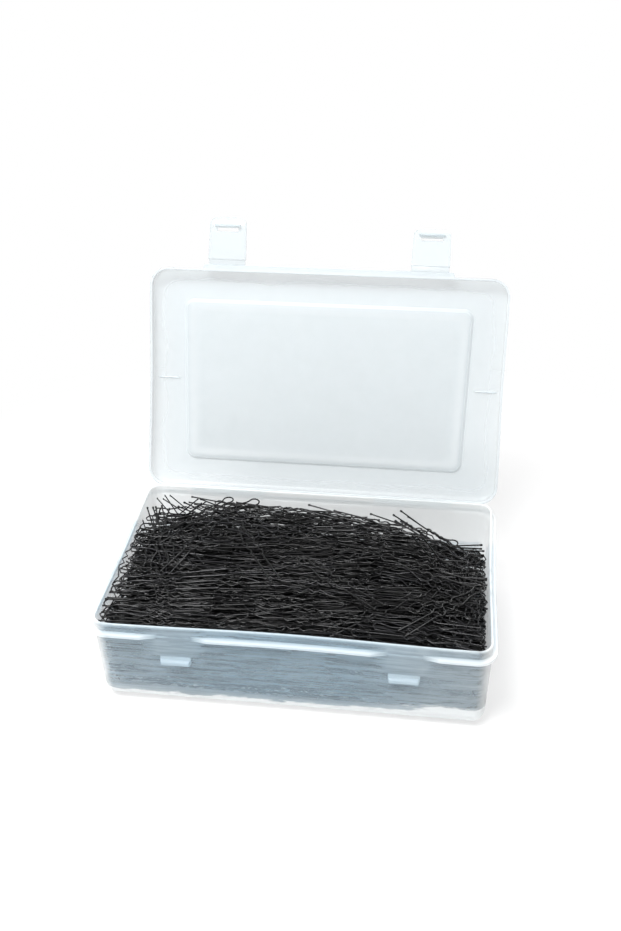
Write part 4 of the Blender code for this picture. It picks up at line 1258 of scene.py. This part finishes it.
def streaks_group():
    """Painted shade of the pins seen through the wall. Mask is noise drawn out along them, Heads is rings for
    their bent ends.

    The pins lie at three angles, and a coarse noise chooses the angle for each patch of the wall. A ring is
    1 - 9 * |distance to its cell's point - 0.33|.
    """
    net, start, end = new_group("pin_streaks", {"Place": "Vector"}, {"Mask": "Float", "Heads": "Float"})
    place = start["Place"]
    patch = net.noise(place, 42.0, 2.0)
    mask = None
    lies = ((0.03, 0.0, 800.0, 0.0), (-0.13, 3.1, 900.0, 0.47), (0.21, 7.7, 850.0, 0.60))
    for turn, shift, scale, patch_from in lies:
        lie = net.mapped(place, (0.035, 0.8, 1.0), Rotation=(0.0, turn, 0.0), Location=(shift, shift, shift))
        streaks = net.ramp(net.noise(lie, scale, 4.0, 0.6), 0.40, 0.62)
        if mask is None:
            mask = streaks
        else:
            mask = net.mix(net.ramp(patch, patch_from, patch_from + 0.05), mask, streaks, colours=False)
    net.feed(end["Mask"], mask)
    cells = net.add("TexVoronoi", Vector=net.mapped(place, (0.75, 0.4, 1.25)), Scale=120.0)
    off_ring = net.math("ABSOLUTE", net.math("SUBTRACT", cells.outputs["Distance"], 0.33))
    net.feed(end["Heads"], net.math("MULTIPLY_ADD", off_ring, -9.0, 1.0))


def new_material(name):
    """New material: itself, its short ways, its Principled shader, and the place on the object."""
    clear_name(bpy.data.materials, name)
    surface = bpy.data.materials.new(name)
    surface.use_nodes = True
    net = Nodes(surface.node_tree)
    return surface, net, net.nodes["Principled BSDF"], net.add("TexCoord").outputs["Object"]


def painted_pin_shade(net, f, place, depth, top, milk):
    """Painted shade on the tray's wall over black pins: where they lie behind it, its painted darker colour
    there, and how clear its foot is.

    The pins reach from an uneven foot, higher at the right, to a top that falls towards the back, and leave
    the upright corners clear. Drawn-out streaks are painted shade where pins touch the wall, with rings of
    painted shade for their heads near the ends. The colour is painted darker lower down, as painted shade,
    and milkier outwards and most at the right. The foot is whiter and more solid, partly white plastic clear
    of pins and partly painted light against the shade under the bottom.
    """
    x, y, z = net.add("SeparateXYZ", Vector=place).outputs
    off_x, off_y = net.math("ABSOLUTE", x), net.math("ABSOLUTE", y)
    uneven = net.noise(net.mapped(place, (0.3, 0.6, 1.0)), 230.0, 3.0)
    lifted = net.math("MULTIPLY_ADD", uneven, 9 * MM, z)
    reach = net.ramp(y, 18 * MM, 48 * MM, top + 9 * MM, top - 18 * MM)
    covered = net.ramp(net.math("SUBTRACT", reach, lifted), 0.0, 2.5 * MM)
    rise = net.ramp(x, 25 * MM, 85 * MM, 0.0, 5 * MM)
    foot = net.ramp(net.math("SUBTRACT", lifted, rise), 11.6 * MM, 12.8 * MM)
    covered = net.math("MULTIPLY", covered, foot)
    corner = net.math("MULTIPLY", net.ramp(off_x, 83 * MM, 86.5 * MM), net.ramp(off_y, 44 * MM, 49 * MM))
    covered = net.math("MULTIPLY", covered, net.math("SUBTRACT", 1.0, corner))
    # Painted shade: darker lower down and lighter towards the top.
    tone = net.mix(net.ramp(z, 0.0, top), toned(f.painted_pin_shade, 0.70), toned(f.painted_pin_shade, 1.08))
    rightwards = net.ramp(x, 30 * MM, 82 * MM)
    outwards = net.ramp(off_x, 25 * MM, 80 * MM, 0.0, 0.25)
    tone = net.mix(net.math("MULTIPLY_ADD", rightwards, 0.22, outwards), tone, milk)
    streaks = net.group("pin_streaks", Place=place)
    # Painted shade: dark streaks where pins touch the wall.
    line = net.math("MULTIPLY", streaks["Mask"], net.ramp(depth, 0.02, 0.15, 0.85, 0.15))
    line = net.math("MULTIPLY", line, net.math("MULTIPLY_ADD", rightwards, -0.3, 1.0))
    tone = net.mix(line, tone, toned(f.painted_pin_shade, 0.42))
    # Painted shade: dark rings for the pins' heads near the ends.
    heads = net.math("MULTIPLY", streaks["Heads"], net.ramp(off_x, 76 * MM, 84 * MM, 0.0, 0.6))
    tone = net.mix(heads, tone, toned(f.painted_pin_shade, 0.25))
    # Last is the foot's share, whiter and more solid, partly as painted light.
    return covered, tone, net.math("MULTIPLY_ADD", foot, -0.85, 0.85)


def milky_plastic(name, f, milk, edge, pin_shade_top=None):
    """Milky polypropylene: part of the light goes straight through, and the rest meets a satin white body.

    Where the piece's depth attribute rises, the plastic is thicker: whiter, and less goes through. The last
    argument is the height up to which black pins lie behind it, where the plastic is painted darker as
    painted shade, and its foot painted whiter, partly as painted light.
    """
    surface, net, body, place = new_material(name)
    depth = net.attribute("depth")
    clouds = net.group("moulded_clouding", Place=place, Cloud_Size=45.0, Line_Size=700.0)
    tone, white = milk, net.math("MULTIPLY", depth, 0.9)
    solid = net.math("MULTIPLY_ADD", clouds["Cloud"], 0.06, f.milk_share - 0.03)
    solid = net.math("MULTIPLY_ADD", depth, 0.5, solid)
    if pin_shade_top:
        # Painted shade where pins lie behind, and a foot painted whiter and more solid, partly as painted
        # light.
        covered, pin_shaded, clear_foot = painted_pin_shade(net, f, place, depth, pin_shade_top, milk)
        tone = net.mix(covered, milk, pin_shaded)
        white = net.math("MAXIMUM", white, clear_foot)
        solid = net.math("MULTIPLY_ADD", clear_foot, 0.4, solid)
    tone = net.mix(white, tone, edge)
    tone = net.mix(net.math("MULTIPLY", clouds["Cloud"], 0.12), tone, toned(edge, 0.9))
    rough = net.math("MULTIPLY_ADD", clouds["Cloud"], 0.16, 0.24)
    net.set(body, Base_Color=tone, Roughness=rough, IOR=1.49, Specular_IOR_Level=0.5)
    net.bump(body, clouds["Height"], 0.12, 0.3 * MM)
    net.mix_shaders(solid, net.add("BsdfTransparent"), body, net.nodes["Material Output"])
    surface.diffuse_color = (*f.milk, 0.5)


def label_paper(f):
    """Blank label: warm white paper with soft mottling, and fine fibres in its roughness and height."""
    _, net, body, place = new_material("mottled_label")
    mottled = net.mix(net.noise(place, 110.0, 4.0), toned(f.paper, 0.93), toned(f.paper, 1.07))
    fibre = net.noise(place, 2600.0, 3.0)
    net.set(body, Base_Color=mottled, Roughness=net.math("MULTIPLY_ADD", fibre, 0.2, 0.5))
    net.set(body, Subsurface_Weight=1.0, Subsurface_Radius=WHITE, Subsurface_Scale=2 * MM)
    net.bump(body, fibre, 0.3, 0.1 * MM)


def black_lacquer(f):
    """Satin black lacquer on steel wire, with scuffs and glossier dipped tips. Each pin is lighter or darker
    at random, and the few lighter ones are painted sheen for pins that catch the light.

    shade is one random number for each pin: few are lighter, as its cube, and the lowest are duller. ball is
    1 on the tips.
    """
    _, net, body, place = new_material("satin_black_lacquer")
    shade, scuff = net.attribute("shade"), net.noise(place, 420.0, 5.0)
    # Painted sheen: a few pins lighter, at random.
    tone = net.mix(net.math("POWER", shade, 3.0), toned(f.lacquer, 0.3), toned(f.lacquer, 14.0))
    tone = net.mix(net.ramp(scuff, 0.61, 0.72, 0.0, 0.35), tone, (0.03, 0.03, 0.032))
    rough = net.math("MULTIPLY_ADD", scuff, 0.13, 0.07)
    rough = net.math("ADD", rough, net.ramp(shade, 0.0, 0.35, 0.3, 0.0))
    rough = net.math("MULTIPLY_ADD", net.attribute("ball"), -0.06, rough)
    net.set(body, Base_Color=tone, Roughness=rough, Specular_IOR_Level=0.32)
    net.bump(body, scuff, 0.15, 0.05 * MM)


def background_rays(net):
    """1 for the rays that see a white background: the camera's, and those of gloss and of glass."""
    path = net.add("LightPath").outputs
    seen = net.math("ADD", path["Is Camera Ray"], path["Is Glossy Ray"])
    return net.math("ADD", seen, path["Is Transmission Ray"])


def finish_named(name):
    """A finish that an earlier operator has made."""
    surface = bpy.data.materials.get(name)
    if surface is None:
        raise RuntimeError(f"the finish {name} is missing: build the finishes first")
    return surface


# Operators


class BuildFinishes(bpy.types.Operator):
    """Makes the milky plastics, the label's paper and the black lacquer"""

    bl_idname = "hairpin_box.finishes"
    bl_label = "Finishes"

    def execute(self, context):
        f, t = context.scene.hairpin_finishes, context.scene.hairpin_tray
        moulded_group()
        streaks_group()
        # The tray's plastic is painted lighter than the lid's, as painted light.
        milky_plastic("milky_tray", f, tuple(f.lightened_tray_milk), tuple(f.edge), t.height)
        for name in ("milky_lid", "milky_latch"):
            milky_plastic(name, f, tuple(f.milk), tuple(f.lid_edge))
        label_paper(f)
        black_lacquer(f)
        return {"FINISHED"}


class BuildTray(bpy.types.Operator):
    """Builds the tray with its ledge, pads and catches, and the shelves for the hinge straps"""

    bl_idname = "hairpin_box.tray"
    bl_label = "Tray"

    def execute(self, context):
        scene = context.scene
        t, latch, hinge = scene.hairpin_tray, scene.hairpin_latch, scene.hairpin_hinge
        add_piece(tray_shell(t, latch, hinge), "milky_tray", "tray_body", ["tray"])
        for side, sign in SIDES.items():
            add_piece(catch_solid(f"tray_catch_{side}", t, latch, sign), "milky_tray", "tray_body")
            add_piece(shelf_slab(f"tray_shelf_{side}", t, hinge, sign), "milky_tray", "tray_body")
        return {"FINISHED"}


class BuildLid(bpy.types.Operator):
    """Builds the lid with its recess, bar and ribs, and the blank label"""

    bl_idname = "hairpin_box.lid"
    bl_label = "Lid and label"

    def execute(self, context):
        scene = context.scene
        t, lid, hinge = scene.hairpin_tray, scene.hairpin_lid, scene.hairpin_hinge
        add_piece(lid_shell(t, lid, hinge), "milky_lid", "lid_body", ["lid"])
        for side, sign in SIDES.items():
            add_piece(rib_solid(f"lid_rib_{side}", t, lid, hinge, sign), "milky_lid", "lid_body")
        add_piece(label_sheet(t, lid, hinge), "mottled_label", "lid_body", ["label"])
        return {"FINISHED"}


class BuildHinges(bpy.types.Operator):
    """Builds the two living hinges between tray and lid, as they stand with the lid open"""

    bl_idname = "hairpin_box.hinges"
    bl_label = "Hinge straps"

    def execute(self, context):
        t, hinge = context.scene.hairpin_tray, context.scene.hairpin_hinge
        for side, sign in SIDES.items():
            mesh, shelf, skirt = hinge_strap(f"strap_{side}", t, hinge, sign)
            strap = add_piece(mesh, "milky_lid", None, [f"hinge_strap_{side}"])
            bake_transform(strap)
        return {"FINISHED"}


class BuildLatches(bpy.types.Operator):
    """Builds the two latches, their hooks and the living hinges they hang from"""

    bl_idname = "hairpin_box.latches"
    bl_label = "Latches"

    def execute(self, context):
        scene = context.scene
        sizes = (scene.hairpin_tray, scene.hairpin_lid, scene.hairpin_latch, scene.hairpin_hinge)
        for side, sign in SIDES.items():
            body = f"{side}_latch_body"
            add_piece(latch_plate(f"plate_{side}", *sizes, side), "milky_latch", body, [f"latch_{side}"])
            add_piece(latch_hook(f"hook_{side}", *sizes, side), "milky_latch", body)
            mesh, start, end = latch_web(f"web_{side}", *sizes, side)
            web = add_piece(mesh, "milky_latch", None, [f"latch_web_{side}"])
            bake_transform(web)
        return {"FINISHED"}


class BuildPins(bpy.types.Operator):
    """Fills the tray with hairpins, laid one by one"""

    bl_idname = "hairpin_box.pins"
    bl_label = "Hairpins"

    def execute(self, context):
        scene = context.scene
        t, p, lid, hinge = scene.hairpin_tray, scene.hairpin_pin, scene.hairpin_lid, scene.hairpin_hinge
        ceiling = t.height - t.ledge_drop + hinge.gap + lid.height - lid.recess_drop - lid.wall - 0.4 * MM
        heap, laid = fill_tray(t, p, ceiling)
        if len(laid) < 200:
            raise RuntimeError("too few hairpins found a place in the tray")
        below, above = np.array_split(laid, 2)
        draw = np.random.default_rng(p.seed + 1)
        loose = sorted(n for n in NODES if n.startswith("hairpin_") and n != "hairpin_heap")
        for name, part, nodes, fine in (
            ("pins_below", below, ["hairpin_heap"], False),
            ("pins_above", above, [], False),
            ("pins_loose", lay_strays(t, p, heap, ceiling), loose, True),
        ):
            spread = p.spread * draw.normal(1.0, 0.09, len(part))
            sway = p.wave_depth * draw.uniform(1.0, 1.6, len(part))
            mesh = pin_tubes(name, p, part, spread, sway, fine)
            add_piece(mesh, "satin_black_lacquer", "tray_body", nodes, crease=0)
        return {"FINISHED"}


def area_light(name, power, size, place, target):
    """Soft lamp of a width and height, at a place and turned to a target."""
    lamp = bpy.data.lights.new(name, "AREA")
    lamp.energy = power
    lamp.shape = "RECTANGLE"
    lamp.size, lamp.size_y = size
    obj = bpy.data.objects.new(name, lamp)
    bpy.context.scene.collection.objects.link(obj)
    obj.location = place
    obj.rotation_euler = (Vector(target) - Vector(place)).to_track_quat("-Z", "Y").to_euler()


class BuildStage(bpy.types.Operator):
    """Builds the pale floor, the soft lights and the camera"""

    bl_idname = "hairpin_box.stage"
    bl_label = "Floor, lights and camera"

    def execute(self, context):
        scene, s = context.scene, context.scene.hairpin_stage
        self.floor(s)
        scene.world = self.world(s)
        area_light("key_softbox", s.key_power, (0.42, 0.3), (-0.22, -0.32, 0.95), (0.0, 0.0, 0.05))
        area_light("front_softbox", s.front_power, (0.9, 0.3), (0.1, -0.95, 0.14), (0.0, 0.0, 0.04))
        area_light("back_softbox", s.fill_power, (0.5, 0.25), (0.25, 0.75, 0.75), (0.0, 0.0, 0.06))
        scene.camera = self.camera(s)
        scene.view_settings.view_transform = "Standard"
        return {"FINISHED"}

    @staticmethod
    def world(s):
        """Even sky that lights the object at its strength, and is white where it is seen."""
        world = bpy.data.worlds.new("soft_sky")
        world.use_nodes = True
        net = Nodes(world.node_tree)
        sky = net.set(net.nodes["Background"], Color=WHITE, Strength=s.world_strength)
        seen = net.add("Background", Color=WHITE)
        net.mix_shaders(background_rays(net), sky, seen, net.nodes["World Output"])
        return world

    @staticmethod
    def floor(s):
        """Flat floor that curves up into a backdrop by a quarter round of 0.5 m in y and z, carried along X.

        It glows white where it is seen, less within 0.3 m of the middle, so that the shadow shows there.
        """
        angle = np.linspace(0.0, math.pi / 2, 13)
        bend = np.stack([2.0 + 0.5 * np.sin(angle), 0.5 - 0.5 * np.cos(angle)], 1)
        line = np.concatenate([[(-2.5, 0.0)], bend, [(2.5, 2.5)]])
        count = len(line)
        rows = np.stack([np.column_stack([np.full(count, x), line]) for x in (-3.0, 3.0)])
        low = np.arange(count - 1)
        quads = np.stack([low, low + count, low + count + 1, low + 1], 1)
        mesh = bpy.data.meshes.new("floor")
        mesh.from_pydata(rows.reshape(-1, 3).tolist(), [], quads.tolist())
        mesh.shade_smooth()
        obj = bpy.data.objects.new("floor", mesh)
        bpy.context.scene.collection.objects.link(obj)
        surface, net, body, place = new_material("pale_floor")
        net.set(body, Base_Color=s.floor_colour, Roughness=0.9, Specular_IOR_Level=0.0)
        away = net.nodes.new("ShaderNodeVectorMath")
        away.operation = "LENGTH"
        net.feed(away.inputs[0], place)
        far = net.ramp(away.outputs["Value"], 0.14, 0.30, 0.62)
        glow = net.math("MULTIPLY", background_rays(net), far)
        net.mix_shaders(glow, body, net.add("Emission", Color=WHITE), net.nodes["Material Output"])
        mesh.materials.append(surface)

    @staticmethod
    def camera(s):
        """Pinhole camera from its place, turn, tilt and roll, with a picture 36 mm high.

        The rows of roll * tilt * turn are the picture's right, its down and the way ahead.
        """
        turn, roll = Matrix.Rotation(-s.yaw, 3, "Z"), Matrix.Rotation(-s.roll, 3, "Z")
        right, down, ahead = roll @ Matrix.Rotation(s.pitch + math.pi / 2, 3, "X") @ turn
        data = bpy.data.cameras.new("camera")
        data.sensor_fit = "VERTICAL"
        data.sensor_height = 36.0
        data.lens = s.focal
        data.clip_start = 0.01
        obj = bpy.data.objects.new("camera", data)
        bpy.context.scene.collection.objects.link(obj)
        axes = Matrix((right, -Vector(down), -Vector(ahead))).transposed()
        obj.matrix_world = Matrix.Translation(Vector(s.place)) @ axes.to_4x4()
        return obj


class HairpinBoxPanel(bpy.types.Panel):
    """Lists the box's pieces, sizes and finishes"""

    bl_idname = "VIEW3D_PT_hairpin_box"
    bl_label = "Hairpin Box"
    bl_space_type = "VIEW_3D"
    bl_region_type = "UI"
    bl_category = "Hairpin Box"

    def draw(self, context):
        layout = self.layout
        for operator in OPERATORS:
            layout.operator(operator.bl_idname)
        for name in SETTINGS:
            box = layout.box()
            box.label(text=name.replace("hairpin_", "").capitalize())
            group = getattr(context.scene, name)
            for key in group.__annotations__:
                box.prop(group, key)


SETTINGS = {
    "hairpin_tray": TraySizes,
    "hairpin_lid": LidSizes,
    "hairpin_latch": LatchSizes,
    "hairpin_hinge": HingeSizes,
    "hairpin_pin": PinSizes,
    "hairpin_finishes": Finishes,
    "hairpin_stage": StageSettings,
}
OPERATORS = (BuildFinishes, BuildTray, BuildLid, BuildHinges, BuildLatches, BuildPins, BuildStage)


def register():
    """Registers the classes, and gives the scene its groups of sizes."""
    for kind in (*SETTINGS.values(), *OPERATORS, HairpinBoxPanel):
        bpy.utils.register_class(kind)
    for name, group in SETTINGS.items():
        setattr(bpy.types.Scene, name, bpy.props.PointerProperty(type=group))


def unregister():
    """Takes back what register has done."""
    for name in SETTINGS:
        delattr(bpy.types.Scene, name)
    for kind in (HairpinBoxPanel, *reversed(OPERATORS), *reversed(SETTINGS.values())):
        bpy.utils.unregister_class(kind)


def main():
    """Builds the whole box and its stage."""
    register()
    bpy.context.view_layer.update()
    bpy.ops.hairpin_box.finishes()
    bpy.ops.hairpin_box.tray()
    bpy.ops.hairpin_box.lid()
    bpy.ops.hairpin_box.hinges()
    bpy.ops.hairpin_box.latches()
    bpy.ops.hairpin_box.pins()
    bpy.ops.hairpin_box.stage()


if __name__ == "__main__":
    main()
